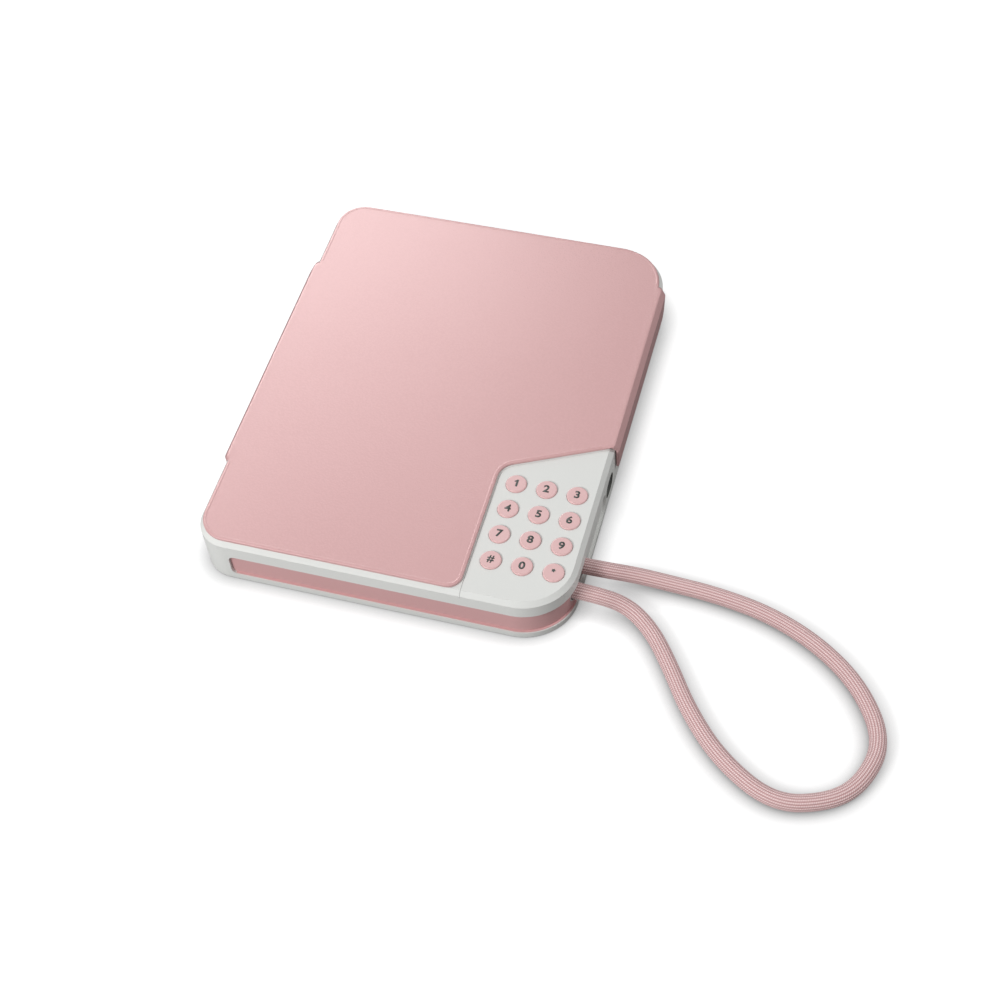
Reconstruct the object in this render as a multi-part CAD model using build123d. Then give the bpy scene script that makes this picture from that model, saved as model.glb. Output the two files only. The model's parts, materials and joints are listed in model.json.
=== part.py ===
from build123d import *
import math
import os

# Electronic secret diary: a flat white case that holds a notebook and a small store, closed by a
# leathercloth cover with a magnetic flap, a twelve-key pad that drives a lock bolt, and a wrist loop.
# Millimetres. X runs along the front edge, Y towards the back, Z up. The origin is the middle of the
# resting plane. The cover is hinged along the left side and the flap hangs on the right side.

# ---- Case ----
body_width = 162.0
body_length = 204.0
foot_height = 0.3
deck_level = 24.6
edge_bevel = 2.0
base_edge_round = 0.3
spine_corner_radius = 14.0
opening_corner_radius = 23.0
wall = 3.0
deck_thickness = 2.0
floor_thickness = 2.3
floor_rebate = 1.2
seat_gap = 0.1

# ---- Keypad cap ----
panel_side_margin = 8.2
panel_top_margin = 7.03
panel_slant_deg = 25.1
panel_corner_radius = 8.0
panel_skirt = 1.1
panel_ledge_width = 1.6
panel_ledge_outer = 1.1
panel_ledge_height = 2.0
panel_joint = 0.15

# ---- Keys ----
key_pitch = 13.3
key_side_margin = 9.4
key_front_margin = 18.87
key_radius = 4.5
key_rise = 0.75
key_edge_round = 0.5
key_fit = 0.1
key_flange_radius = 5.0
key_flange_thickness = 1.1
key_flange_gap = 0.1
key_stem_radius = 1.8
key_stem_length = 1.0
key_travel = 0.6
key_names = (("1", "2", "3"), ("4", "5", "6"), ("7", "8", "9"), ("hash", "0", "star"))

# ---- Key mat and boards ----
dome_gap = 0.05
dome_spare = 0.5
dome_foot_radius = 3.4
dome_top_radius = 2.1
dome_hollow_radius = 1.6
mat_thickness = 0.6
mat_margin = 2.4
board_thickness = 1.2
board_margin = 3.0
panel_post_radius = 2.2
post_clearance = 0.2
chip_size = 8.0
chip_thickness = 1.0
chip_from_lock_front = 7.5
buzzer_radius = 6.0
buzzer_height = 2.5
buzzer_from_lock_front = 21.0
buzzer_offset_y = -3.0

# ---- Charging socket ----
usb_from_front = 77.8
usb_level = 10.2
usb_recess_length = 12.0
usb_recess_height = 9.4
usb_recess_depth = 1.6
usb_bezel_wall = 0.6
usb_bezel_floor = 0.6
usb_shell_setback = 0.4
usb_shell_width = 8.94
usb_shell_height = 3.26
usb_shell_length = 7.3
usb_shell_wall = 0.3
usb_shell_clearance = 0.2
usb_tongue_width = 6.7
usb_tongue_thickness = 0.7
usb_tongue_length = 4.6
usb_tongue_setback = 1.0
usb_board_length = 14.0
usb_board_width = 15.0
usb_board_offset_y = -1.8
usb_board_gap = 0.5
usb_post_radius = 2.0
usb_post_inset = 2.6

# ---- Battery ----
battery_length = 30.0
battery_width = 22.0
battery_thickness = 5.5
battery_gap = 4.5
battery_corner = 2.0

# ---- Store for the notebook ----
rim = 9.0
bay_divider = 7.8
store_corner_radius = 4.0
tray_wall = 1.2
tray_floor = 1.2
partition_setback = 4.4
partition_headroom = 2.4
niche_depth = 5.2
niche_length = 16.0
niche_overlap = 6.0

# ---- Notebook ----
notebook_side_gap = 1.0
notebook_end_gap = 2.5
notebook_thickness = 12.0
notebook_cover_thickness = 0.8
page_inset = 1.5
notebook_right_gap = 2.0

# ---- Groove round the front and right side ----
groove_low = 3.6
groove_high = 16.0
groove_depth = 1.2
groove_left_margin = 15.5
groove_corner = 3.0
groove_usb_margin = 0.6
inlay_thickness = 0.6
inlay_end_margin = 0.5
inlay_clearance = 0.05
inlay_ledge = 0.8
inlay_ledge_height = 0.35

# ---- Cover, spine and flap ----
lid_gap = 0.2
cover_inset = 1.7
cover_thickness = 1.3
cover_edge_round = 0.55
cover_key_gap = 0.6
cover_key_corner = 6.0
skin_thickness = 0.5
board_inset = 0.7
board_fit = 0.05
liner_clearance = 0.8
liner_drop = 1.8
leather_thickness = 1.2
leather_clearance = 0.3
crease_gap = 0.2
hinge_rise = 0.1
flap_near_margin = -0.7
flap_far_margin = 22.0
flap_low = 9.0
flap_corner = 5.0
flap_far_slope = 3.0
flap_plate_thickness = 0.5
flap_plate_margin = 4.0
flap_plate_top_gap = 0.2
spine_end_margin = 45.0
spine_flare = 3.5
magnet_length = 12.0
magnet_height = 6.0
magnet_thickness = 2.0
magnet_skin = 0.8
magnet_count = 3
magnet_level = 15.0
magnet_margin = 12.0

# ---- Lock ----
lock_from_front = 42.0
lock_pedestal = 2.0
lock_standoff = 2.6
lock_length = 18.0
lock_width = 11.0
lock_plate = 1.0
coil_radius = 4.4
bolt_radius = 1.5
bolt_recess = 0.4
bolt_travel = 3.6
bolt_past_strike = 1.0
plunger_radius = 2.0
plunger_play = 0.6
washer_radius = 3.5
washer_thickness = 1.0
lock_fit = 0.05
spring_radius = 2.8
spring_wire = 0.3
spring_turns = 5
spring_spare = 0.4
strike_thickness = 0.8
strike_width = 10.0
strike_window_height = 4.4
strike_window_width = 6.0
strike_foot_length = 8.0
strike_tail = 3.0

# ---- Wrist loop ----
cord_diameter = 7.0
cord_level = 10.9
cord_far_from_front = 34.0
cord_near_from_front = 21.3
cord_opening_gap = 0.7
cord_opening_end_gap = 0.7
anchor_setback = 1.6
anchor_length = 8.4
anchor_end_margin = 0.6
anchor_cap = 1.2
anchor_round = 1.0
anchor_screw_inset = 4.0
anchor_screw_start = 2.0
cord_first_run = 11.1
# Bends of the loop: out from the right wall, back from the front edge, and level
cord_route = [
    (21.0, 37.6, 5.2),
    (36.0, 40.2, 3.6),
    (55.0, 37.8, 3.6),
    (78.0, 31.7, 3.6),
    (100.0, 21.5, 3.6),
    (118.5, 6.5, 3.6),
    (131.0, -12.5, 3.6),
    (132.0, -35.0, 3.6),
    (117.0, -50.0, 3.6),
    (94.0, -49.5, 3.6),
    (73.0, -36.5, 3.6),
    (56.5, -17.5, 3.6),
    (42.5, 0.5, 3.6),
    (32.5, 15.5, 3.6),
    (20.5, 21.8, 5.2),
]

# ---- Fasteners and feet ----
screw_radius = 1.0
screw_head_radius = 1.9
screw_head_height = 1.1
case_screw_length = 9.0
boss_radius = 2.5
boss_inset = 5.0
boss_height = 13.0
small_screw_radius = 0.7
small_head_radius = 1.5
small_head_height = 0.8
foot_radius = 5.0
foot_recess = 0.8
foot_side_margin = 23.0
foot_end_margin = 18.0
boss_side_margin = 41.0
boss_end_margin = 40.0
boss_bay_margin = 27.0
boss_front_margin = 65.0

# ---- Levels and places worked out from the sizes above ----
half_width = body_width / 2
half_length = body_length / 2
base_level = foot_height
floor_top = base_level + floor_thickness
deck_underside = deck_level - deck_thickness
beyond = 20.0

key_first_x = half_width - key_side_margin - 2 * key_pitch
key_first_y = -half_length + key_front_margin + 3 * key_pitch
panel_left = key_first_x - panel_side_margin
panel_corner_y = key_first_y + panel_top_margin
panel_slope = math.tan(math.radians(panel_slant_deg))
panel_slant_share = math.cos(math.radians(panel_slant_deg))

cover_bottom = deck_level + lid_gap
cover_top = cover_bottom + cover_thickness
crease_x = half_width - cover_inset
hinge_x = crease_x + crease_gap / 2
hinge_level = cover_top + hinge_rise
liner_bottom = deck_level - liner_drop
flap_near = panel_corner_y + (crease_x - panel_left) * panel_slope - flap_near_margin
flap_far = half_length - flap_far_margin
spine_half_length = half_length - spine_end_margin

flange_top = deck_underside - key_flange_gap
flange_bottom = flange_top - key_flange_thickness
stem_bottom = flange_bottom - key_stem_length
dome_height = key_travel + dome_spare
mat_top = stem_bottom - dome_gap - dome_height
mat_bottom = mat_top - mat_thickness
board_bottom = mat_bottom - board_thickness

store_right = panel_left - bay_divider
partition_x = store_right + partition_setback
niche_right = store_right + niche_depth
lock_y = -half_length + lock_from_front
lock_frame_bottom = floor_top + lock_pedestal
lock_level = lock_frame_bottom + lock_plate + coil_radius
lock_front_x = niche_right + tray_wall + lock_standoff
lock_back_x = lock_front_x + lock_length
bolt_tip_x = niche_right + bolt_recess
strike_x = bolt_tip_x - bolt_travel + bolt_past_strike
plunger_start_x = lock_front_x + lock_plate + bolt_travel + plunger_play
spring_room = bolt_travel + (spring_turns + 1) * 2 * spring_wire + spring_spare

usb_y = -half_length + usb_from_front
usb_board_y = usb_y + usb_board_offset_y
usb_board_right = half_width - wall - usb_board_gap
usb_board_top = usb_level - usb_shell_height / 2
usb_recess_floor = half_width - usb_recess_depth
usb_mouth = half_width - usb_shell_setback

groove_radius = (groove_high - groove_low) / 2
groove_middle = (groove_high + groove_low) / 2
groove_left_end = -half_width + groove_left_margin
groove_right_end = usb_y - usb_recess_length / 2 - groove_usb_margin
cord_exit_far_y = -half_length + cord_far_from_front
cord_exit_near_y = -half_length + cord_near_from_front
anchor_face_x = half_width - wall - anchor_setback
anchor_top = cord_level + cord_diameter / 2 + anchor_cap
opening_far_y = cord_exit_far_y + cord_diameter / 2 + cord_opening_end_gap
opening_near_y = cord_exit_near_y - cord_diameter / 2 - cord_opening_end_gap
inlay_top_end_y = cord_exit_near_y - cord_diameter / 2
anchor_near_y = opening_near_y - anchor_end_margin
anchor_far_y = opening_far_y + anchor_end_margin
battery_x = anchor_face_x - anchor_length - battery_gap - battery_length / 2
battery_y = lock_y - lock_width / 2 - battery_gap - battery_width / 2


def case_outline(inset=0.0):
    """Plan of the case moved in by inset: tight corners on the spine side, wide ones on the right."""
    plan = Rectangle(body_width - 2 * inset, body_length - 2 * inset)
    spine_side = plan.vertices().sort_by(Axis.X)[:2]
    plan = fillet(spine_side, spine_corner_radius - inset)
    opening_side = plan.vertices().sort_by(Axis.X)[-2:]
    return fillet(opening_side, opening_corner_radius - inset)


def slant_y(x, grow=0.0):
    """Y of the keypad's slanted side at x, moved out by grow."""
    return panel_corner_y + (x - panel_left) * panel_slope + grow / panel_slant_share


def keypad_region(grow=0.0):
    """Plan of the front right corner that the keypad takes, moved out by grow on its two inner sides."""
    left = panel_left - grow
    right = half_width + beyond
    near = -half_length - beyond
    plan = Polygon((left, near), (right, near), (right, slant_y(right, grow)), (left, slant_y(left, grow)),
                   align=None)
    tip = plan.vertices().sort_by_distance((left, slant_y(left, grow), 0))[0]
    return fillet(tip, panel_corner_radius + grow)


def prism(plan, low, high):
    """Stand a plan up between two levels."""
    return extrude(Pos(0, 0, low) * plan, high - low)


def upright(radius, x, y, low, high):
    """Cylinder along Z between two levels."""
    return Pos(x, y, (low + high) / 2) * Cylinder(radius, high - low)


def along_x(radius, low, high, y, z):
    """Cylinder along X between two places."""
    return Pos((low + high) / 2, y, z) * Rot(0, 90, 0) * Cylinder(radius, high - low)


def block(x_low, x_high, y_low, y_high, z_low, z_high):
    """Box given by its limits."""
    size = (x_high - x_low, y_high - y_low, z_high - z_low)
    centre = ((x_low + x_high) / 2, (y_low + y_high) / 2, (z_low + z_high) / 2)
    return Pos(*centre) * Box(*size)


def side_slot(length, height, x_low, x_high, y, z):
    """Round-ended slot along Y, cut through a wall that faces X."""
    plan = Plane(origin=(x_low, y, z), x_dir=(0, 1, 0), z_dir=(1, 0, 0)) * SlotOverall(length, height)
    return extrude(plan, x_high - x_low, dir=(1, 0, 0))


def save(part, node):
    """Write one piece to its own file."""
    export_step(part, "parts/" + node + ".step")


# ---- Outer case ----
def case_envelope():
    """Outside shape of the closed case without its cover: bevelled above, softened below."""
    solid = prism(case_outline(), base_level, deck_level)
    top_edges = solid.faces().sort_by(Axis.Z)[-1].outer_wire().edges()
    solid = chamfer(top_edges, edge_bevel)
    base_edges = solid.faces().sort_by(Axis.Z)[0].outer_wire().edges()
    return fillet(base_edges, base_edge_round)


def ring(inset_outer, inset_inner, low, high):
    """Band that follows the case wall between two insets and two levels."""
    return prism(case_outline(inset_outer), low, high) - prism(case_outline(inset_inner), low, high)


def groove_run(end_y, clearance=0.0):
    """Region along the front and round to the right side that the groove takes, with soft corners."""
    low = groove_low + clearance
    high = groove_high - clearance
    left = groove_left_end + clearance
    right = half_width + 1
    back_y = -half_length + opening_corner_radius
    face = Plane(origin=((left + right) / 2, back_y, groove_middle), x_dir=(1, 0, 0), z_dir=(0, -1, 0))
    plan = face * RectangleRounded(right - left, high - low, groove_corner - clearance)
    front = extrude(plan, opening_corner_radius + 1, dir=(0, -1, 0))
    side = block(half_width - opening_corner_radius, right, -half_length - 1, end_y, low, high)
    return front + side


def groove_cut():
    """Shallow groove with a round far end on the right side."""
    end_y = groove_right_end - groove_radius
    far_end = along_x(groove_radius, half_width - wall, half_width + 1, end_y, groove_middle)
    return (groove_run(end_y) + far_end) & ring(-1, groove_depth, groove_low, groove_high)


def beyond_inlay(gap=0.0):
    """Region of the right side that the inlay leaves free: the wrist loop's opening and all past it."""
    left = half_width - opening_corner_radius
    right = half_width + 2
    past = block(left, right, cord_exit_near_y + gap, half_length, 0, deck_level)
    above = block(left, right, inlay_top_end_y + gap, half_length, cord_level, deck_level)
    return past + above + cord_opening(inlay_end_margin - gap)


def inlay_seat():
    """Extra depth of the groove that the inlay sits in."""
    depth = groove_depth + inlay_thickness
    cut = groove_run(groove_right_end) & ring(-1, depth, groove_low, groove_high)
    return cut - beyond_inlay(seat_gap)


def groove_inlay():
    """Coloured strip on the floor of the groove, with a small ledge along its lower edge."""
    strip = ring(groove_depth, groove_depth + inlay_thickness - inlay_clearance, groove_low, groove_high)
    ledge_low = groove_low + inlay_clearance
    ledge = ring(groove_depth - inlay_ledge, groove_depth, ledge_low, ledge_low + inlay_ledge_height)
    return ((strip + ledge) & groove_run(groove_right_end, inlay_clearance)) - beyond_inlay()


def boss_places():
    """Centres of the screw bosses that stand against the case wall, clear of the flap's magnets."""
    side = half_width - boss_inset
    end = half_length - boss_inset
    left_y = half_length - boss_end_margin
    span_x = half_width - boss_side_margin
    magnets = magnet_places()
    left = [(-side, -left_y), (-side, left_y)]
    back = [(-span_x, end), (span_x, end)]
    front = [(-span_x, -end), (half_width - boss_front_margin, -end), (half_width - boss_bay_margin, -end)]
    right = [(side, (near + far) / 2) for near, far in zip(magnets, magnets[1:])]
    return left + back + front + right


def store_plan(grow=0.0):
    """Plan of the store under the cover, with the niche for the lock's strike, moved out by grow."""
    plan = case_outline(rim - grow) - keypad_region(bay_divider - grow)
    right_x = half_width - rim + grow
    front = plan.vertices().sort_by_distance((store_right + grow, -half_length + rim - grow, 0))[0]
    right = plan.vertices().sort_by_distance((right_x, slant_y(right_x, bay_divider - grow), 0))[0]
    plan = fillet([front, right], store_corner_radius + grow)
    width = niche_depth + niche_overlap
    niche = Pos(niche_right + grow - width / 2, lock_y) * Rectangle(width, niche_length + 2 * grow)
    return plan + niche


def cord_opening(grow=0.0):
    """Slot in the wall that both ends of the wrist loop pass through, made larger by grow."""
    length = opening_far_y - opening_near_y + 2 * grow
    height = cord_diameter + 2 * cord_opening_gap + 2 * grow
    middle = (opening_far_y + opening_near_y) / 2
    return side_slot(length, height, half_width - 2 * wall, half_width + 1, middle, cord_level)


def usb_shell_hole():
    """Hole through the wall for the charging socket's shell."""
    return side_slot(usb_shell_width + 2 * usb_shell_clearance, usb_shell_height + 2 * usb_shell_clearance,
                     half_width - 2 * wall, half_width, usb_y, usb_level)


def usb_recess(inset, floor_x):
    """Round-ended recess in the right wall down to a floor, moved in by inset."""
    return side_slot(usb_recess_length - 2 * inset, usb_recess_height - 2 * inset, floor_x, half_width,
                     usb_y, usb_level)


def usb_cuts():
    """Recess in the right wall and the hole for the charging socket's shell."""
    return usb_recess(0, usb_recess_floor) + usb_shell_hole()


def magnet_places():
    """Y of each flap magnet, spread evenly along the flap."""
    near = flap_near + magnet_margin
    step = (flap_far - magnet_margin - near) / (magnet_count - 1)
    return [near + i * step for i in range(magnet_count)]


def magnet_blocks(gap=0.0):
    """Bar magnets, or with a gap the pockets that hold them, inside the right wall."""
    outer = half_width - magnet_skin
    half = magnet_length / 2 + gap
    low = magnet_level - magnet_height / 2 - gap
    high = magnet_level + magnet_height / 2 + gap
    inner = outer - magnet_thickness - gap
    return [block(inner, outer, y - half, y + half, low, high) for y in magnet_places()]


def panel_ledge():
    """Ledge under the inner sides of the keypad cap."""
    low = deck_underside - panel_ledge_height
    plan = keypad_region(panel_ledge_outer) - keypad_region(-panel_ledge_width)
    return prism(plan & case_outline(wall), low, deck_underside)


def case_body():
    """White moulding: walls, deck with the store's opening, groove, bosses and the keypad's ledge."""
    solid = case_envelope()
    solid -= prism(case_outline(wall), base_level - 1, deck_underside)
    solid -= prism(case_outline(floor_rebate), base_level - 1, floor_top)
    solid -= prism(store_plan(), floor_top, deck_level + 1)
    solid -= prism(keypad_region(), deck_underside - panel_skirt, deck_level + 1)
    solid += panel_ledge()
    for x, y in boss_places():
        solid += upright(boss_radius, x, y, floor_top, floor_top + boss_height)
    for x, y in boss_places():
        solid -= upright(screw_radius, x, y, floor_top, floor_top + case_screw_length)
    solid -= groove_cut()
    solid -= inlay_seat()
    solid -= cord_opening()
    solid -= usb_cuts()
    for pocket in magnet_blocks(gap=seat_gap):
        solid -= pocket
    return solid


# ---- Floor, screws and feet ----
def usb_post_places():
    """Two posts that carry the charging board."""
    x = usb_board_right - usb_board_length + usb_post_inset
    half = usb_board_width / 2 - usb_post_inset
    return [(x, usb_board_y - half), (x, usb_board_y + half)]


def foot_places():
    """Centres of the four feet."""
    foot_x = half_width - foot_side_margin
    foot_y = half_length - foot_end_margin
    return [(x, y) for x in (-foot_x, foot_x) for y in (-foot_y, foot_y)]


def bottom_cover():
    """Plate let into the case from below, with the posts and the lock's pedestal on its inside."""
    solid = prism(case_outline(floor_rebate + seat_gap), base_level, floor_top)
    post_top = usb_board_top - board_thickness
    for x, y in usb_post_places():
        solid += upright(usb_post_radius, x, y, floor_top, post_top)
        solid -= upright(small_screw_radius, x, y, floor_top + small_head_height, post_top)
    solid += block(lock_front_x, lock_back_x, lock_y - lock_width / 2, lock_y + lock_width / 2,
                   floor_top, lock_frame_bottom)
    for x, y in boss_places():
        solid -= upright(screw_radius, x, y, base_level, floor_top)
        solid -= upright(screw_head_radius + seat_gap, x, y, base_level, base_level + screw_head_height)
    for x, y in foot_places():
        solid -= upright(foot_radius + seat_gap, x, y, base_level, base_level + foot_recess)
    return solid


def case_screws():
    """Countersunk from below, one into each boss of the case."""
    screws = []
    for x, y in boss_places():
        head = upright(screw_head_radius, x, y, base_level + seat_gap, base_level + screw_head_height)
        shank_top = floor_top + case_screw_length
        screws.append(head + upright(screw_radius, x, y, base_level + screw_head_height, shank_top))
    return Compound(children=screws)


def rubber_feet():
    """Four round pads in recesses of the bottom cover."""
    feet = []
    for x, y in foot_places():
        pad = upright(foot_radius, x, y, 0, base_level + foot_recess)
        feet.append(fillet(pad.edges().group_by(Axis.Z)[0], foot_height / 2))
    return Compound(children=feet)


# ---- Store and notebook ----
def storage_tray():
    """Tub under the deck for the notebook, with a partition and a bored niche for the strike."""
    outer = prism(store_plan(tray_wall), floor_top, deck_underside)
    solid = outer - prism(store_plan(), floor_top + tray_floor, deck_underside)
    partition = block(partition_x - tray_wall / 2, partition_x + tray_wall / 2,
                      slant_y(partition_x, bay_divider) - store_corner_radius, half_length,
                      floor_top, deck_underside - partition_headroom)
    solid += partition & outer
    return solid - along_x(bolt_radius + 4 * lock_fit, niche_right - 1, niche_right + 2, lock_y, lock_level)


def notebook_limits():
    """Low and high corners of the notebook on the tray's floor."""
    left = -half_width + rim + notebook_side_gap
    right = store_right - notebook_right_gap
    front = -half_length + rim + notebook_end_gap
    low = floor_top + tray_floor
    return (left, front, low), (right, -front, low + notebook_thickness)


def notebook_cover():
    """Thin card folded round the pages: back, spine on the left, and front."""
    (left, front, low), (right, back, high) = notebook_limits()
    inside = block(left + notebook_cover_thickness, right + 1, front - 1, back + 1,
                   low + notebook_cover_thickness, high - notebook_cover_thickness)
    return block(left, right, front, back, low, high) - inside


def notebook_pages():
    """The block of leaves between the covers, a little smaller than they are."""
    (left, front, low), (right, back, high) = notebook_limits()
    return block(left + notebook_cover_thickness, right - page_inset, front + page_inset, back - page_inset,
                 low + notebook_cover_thickness, high - notebook_cover_thickness)


# ---- Keypad ----
def key_place(column, row):
    """Centre of one key."""
    return key_first_x + column * key_pitch, key_first_y - row * key_pitch


def panel_post_places():
    """Posts under the cap, each between four keys."""
    return [(key_first_x + (column + 0.5) * key_pitch, key_first_y - (row + 0.5) * key_pitch)
            for column in (0, 1) for row in (0, 2)]


def keypad_panel():
    """White cap with the corner's bevel, a short skirt, key holes and screw posts."""
    cap = case_envelope() & prism(keypad_region(-panel_joint), deck_underside - panel_skirt, deck_level + 1)
    solid = cap - prism(case_outline(wall), deck_underside - 2 * panel_skirt, deck_underside)
    for column in range(3):
        for row in range(4):
            x, y = key_place(column, row)
            solid -= upright(key_radius + key_fit, x, y, deck_underside - 1, deck_level + 1)
    for x, y in panel_post_places():
        solid += upright(panel_post_radius, x, y, mat_bottom, deck_underside)
        solid -= upright(small_screw_radius, x, y, mat_bottom - 1, deck_underside - panel_skirt)
    return solid


def key(column, row):
    """Round cap with a soft rim, a flange that stops it under the panel, and a stem over its dome."""
    x, y = key_place(column, row)
    cap = upright(key_radius, x, y, flange_top, deck_level + key_rise)
    cap = fillet(cap.edges().group_by(Axis.Z)[-1], key_edge_round)
    flange = upright(key_flange_radius, x, y, flange_bottom, flange_top)
    stem = upright(key_stem_radius, x, y, stem_bottom, flange_bottom)
    return cap + flange + stem


def bay_plan(margin):
    """Plan of the keypad bay, in from the cap's inner sides and from the wall."""
    return keypad_region(-margin) & case_outline(wall + margin / 2)


def key_mat():
    """Silicone sheet with a hollow dome under each key, holed for the panel's posts."""
    solid = prism(bay_plan(mat_margin), mat_bottom, mat_top)
    for column in range(3):
        for row in range(4):
            x, y = key_place(column, row)
            dome = Cone(dome_foot_radius, dome_top_radius, dome_height)
            solid += Pos(x, y, mat_top + dome_height / 2) * dome
            solid -= upright(dome_hollow_radius, x, y, mat_bottom, mat_top + dome_height / 2)
    for x, y in panel_post_places():
        solid -= upright(panel_post_radius + post_clearance, x, y, mat_bottom - 1, mat_top + 1)
    return solid


def keypad_board():
    """Circuit board under the mat, held against the panel's posts."""
    solid = prism(bay_plan(board_margin), board_bottom, mat_bottom)
    for x, y in panel_post_places():
        solid -= upright(small_screw_radius + seat_gap, x, y, board_bottom - 1, mat_bottom + 1)
    return solid


def board_screws():
    """Small screws: four into the panel's posts, two into the charging board's posts."""
    screws = []
    for x, y in panel_post_places():
        head = upright(small_head_radius, x, y, board_bottom - small_head_height, board_bottom)
        shank_top = deck_underside - 2 * panel_skirt
        screws.append(head + upright(small_screw_radius, x, y, board_bottom, shank_top))
    for x, y in usb_post_places():
        head = upright(small_head_radius, x, y, usb_board_top, usb_board_top + small_head_height)
        screws.append(head + upright(small_screw_radius, x, y, floor_top + small_head_height, usb_board_top))
    return Compound(children=screws)


def main_chip():
    """Controller on the underside of the keypad board."""
    half = chip_size / 2
    x = lock_front_x + chip_from_lock_front
    return block(x - half, x + half, lock_y - half, lock_y + half, board_bottom - chip_thickness,
                 board_bottom)


def buzzer():
    """Round sounder on the underside of the keypad board."""
    x = lock_front_x + buzzer_from_lock_front
    y = lock_y + buzzer_offset_y
    low = board_bottom - buzzer_height
    sound_hole = upright(small_screw_radius, x, y, low, low + buzzer_height / 2)
    return upright(buzzer_radius, x, y, low, board_bottom) - sound_hole


# ---- Power ----
def usb_board():
    """Small board that carries the charging socket."""
    half = usb_board_width / 2
    solid = block(usb_board_right - usb_board_length, usb_board_right, usb_board_y - half, usb_board_y + half,
                  usb_board_top - board_thickness, usb_board_top)
    for x, y in usb_post_places():
        solid -= upright(small_screw_radius + seat_gap, x, y, usb_board_top - 2 * board_thickness,
                         usb_board_top + 1)
    return solid


def usb_bezel():
    """Dark liner of the charging recess, flush with the wall and open round the shell."""
    liner = usb_recess(seat_gap, usb_recess_floor)
    liner -= usb_recess(seat_gap + usb_bezel_wall, usb_recess_floor + usb_bezel_floor)
    return liner - usb_shell_hole()


def usb_socket():
    """Stadium-shaped metal shell, open outwards and closed by its back."""
    back = usb_mouth - usb_shell_length
    outer = side_slot(usb_shell_width, usb_shell_height, back, usb_mouth, usb_y, usb_level)
    inner = side_slot(usb_shell_width - 2 * usb_shell_wall, usb_shell_height - 2 * usb_shell_wall,
                      back + usb_shell_wall, usb_mouth + 1, usb_y, usb_level)
    return outer - inner


def usb_tongue():
    """Contact tongue in the middle of the shell, on a base that fills the shell's back."""
    back = usb_mouth - usb_shell_length + usb_shell_wall
    tip = usb_mouth - usb_tongue_setback
    base_end = tip - usb_tongue_length
    base = side_slot(usb_shell_width - 2 * usb_shell_wall - seat_gap,
                     usb_shell_height - 2 * usb_shell_wall - seat_gap, back, base_end, usb_y, usb_level)
    half_span = usb_tongue_width / 2
    half_height = usb_tongue_thickness / 2
    return base + block(base_end, tip, usb_y - half_span, usb_y + half_span,
                        usb_level - half_height, usb_level + half_height)


def battery():
    """Flat rechargeable cell on the bottom cover."""
    plan = Pos(battery_x, battery_y) * RectangleRounded(battery_length, battery_width, battery_corner)
    return prism(plan, floor_top, floor_top + battery_thickness)


# ---- Lock ----
def lock_frame():
    """Bent steel frame: a base and two end plates with holes for the bolt and its plunger."""
    half = lock_width / 2
    top = lock_level + coil_radius
    solid = block(lock_front_x, lock_back_x, lock_y - half, lock_y + half, lock_frame_bottom,
                  lock_frame_bottom + lock_plate)
    for x in (lock_front_x, lock_back_x - lock_plate):
        solid += block(x, x + lock_plate, lock_y - half, lock_y + half, lock_frame_bottom, top)
    solid -= along_x(bolt_radius + lock_fit, lock_front_x - 1, lock_front_x + lock_plate + 1,
                     lock_y, lock_level)
    return solid - along_x(plunger_radius + lock_fit, lock_back_x - lock_plate - 1, lock_back_x + 1,
                           lock_y, lock_level)


def lock_coil():
    """Wound coil between the end plates."""
    low = lock_front_x + lock_plate
    high = lock_back_x - lock_plate
    bore = along_x(plunger_radius + lock_fit, low, high, lock_y, lock_level)
    return along_x(coil_radius, low, high, lock_y, lock_level) - bore


def lock_bolt():
    """Bolt, plunger and the washer that the return spring bears on, drawn back in the unlocked place."""
    washer_x = lock_back_x + spring_room
    bolt = along_x(bolt_radius, bolt_tip_x, plunger_start_x, lock_y, lock_level)
    bolt = fillet(bolt.edges().group_by(Axis.X)[0], bolt_radius / 3)
    plunger = along_x(plunger_radius, plunger_start_x, washer_x, lock_y, lock_level)
    washer = along_x(washer_radius, washer_x, washer_x + washer_thickness, lock_y, lock_level)
    return bolt + plunger + washer


def bolt_spring():
    """Return spring between the frame and the washer."""
    length = spring_room - 2 * spring_wire
    path = Helix(pitch=length / spring_turns, height=length, radius=spring_radius)
    section = Plane(origin=path @ 0, z_dir=path % 0) * Circle(spring_wire)
    coil = sweep(section, path=path)
    return Pos(lock_back_x + spring_wire, lock_y, lock_level) * Rot(0, 90, 0) * coil


# ---- Wrist loop ----
def cord_anchor():
    """Block behind the opening that grips both ends of the wrist loop."""
    solid = block(anchor_face_x - anchor_length, anchor_face_x, anchor_near_y, anchor_far_y,
                  floor_top, anchor_top)
    solid = fillet(solid.edges().filter_by(Axis.Z).group_by(Axis.X)[0], anchor_round)
    for x, y in anchor_screw_places():
        solid -= upright(screw_radius, x, y, floor_top + anchor_screw_start, anchor_top)
    return solid


def anchor_screw_places():
    """Two screws, one near each end of the block."""
    x = anchor_face_x - anchor_length / 2
    return [(x, anchor_near_y + anchor_screw_inset), (x, anchor_far_y - anchor_screw_inset)]


def anchor_screws():
    """Screws that close the anchor on the cord ends."""
    screws = []
    for x, y in anchor_screw_places():
        head = upright(screw_head_radius, x, y, anchor_top, anchor_top + screw_head_height)
        screws.append(head + upright(screw_radius, x, y, floor_top + anchor_screw_start, anchor_top))
    return Compound(children=screws)


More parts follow.
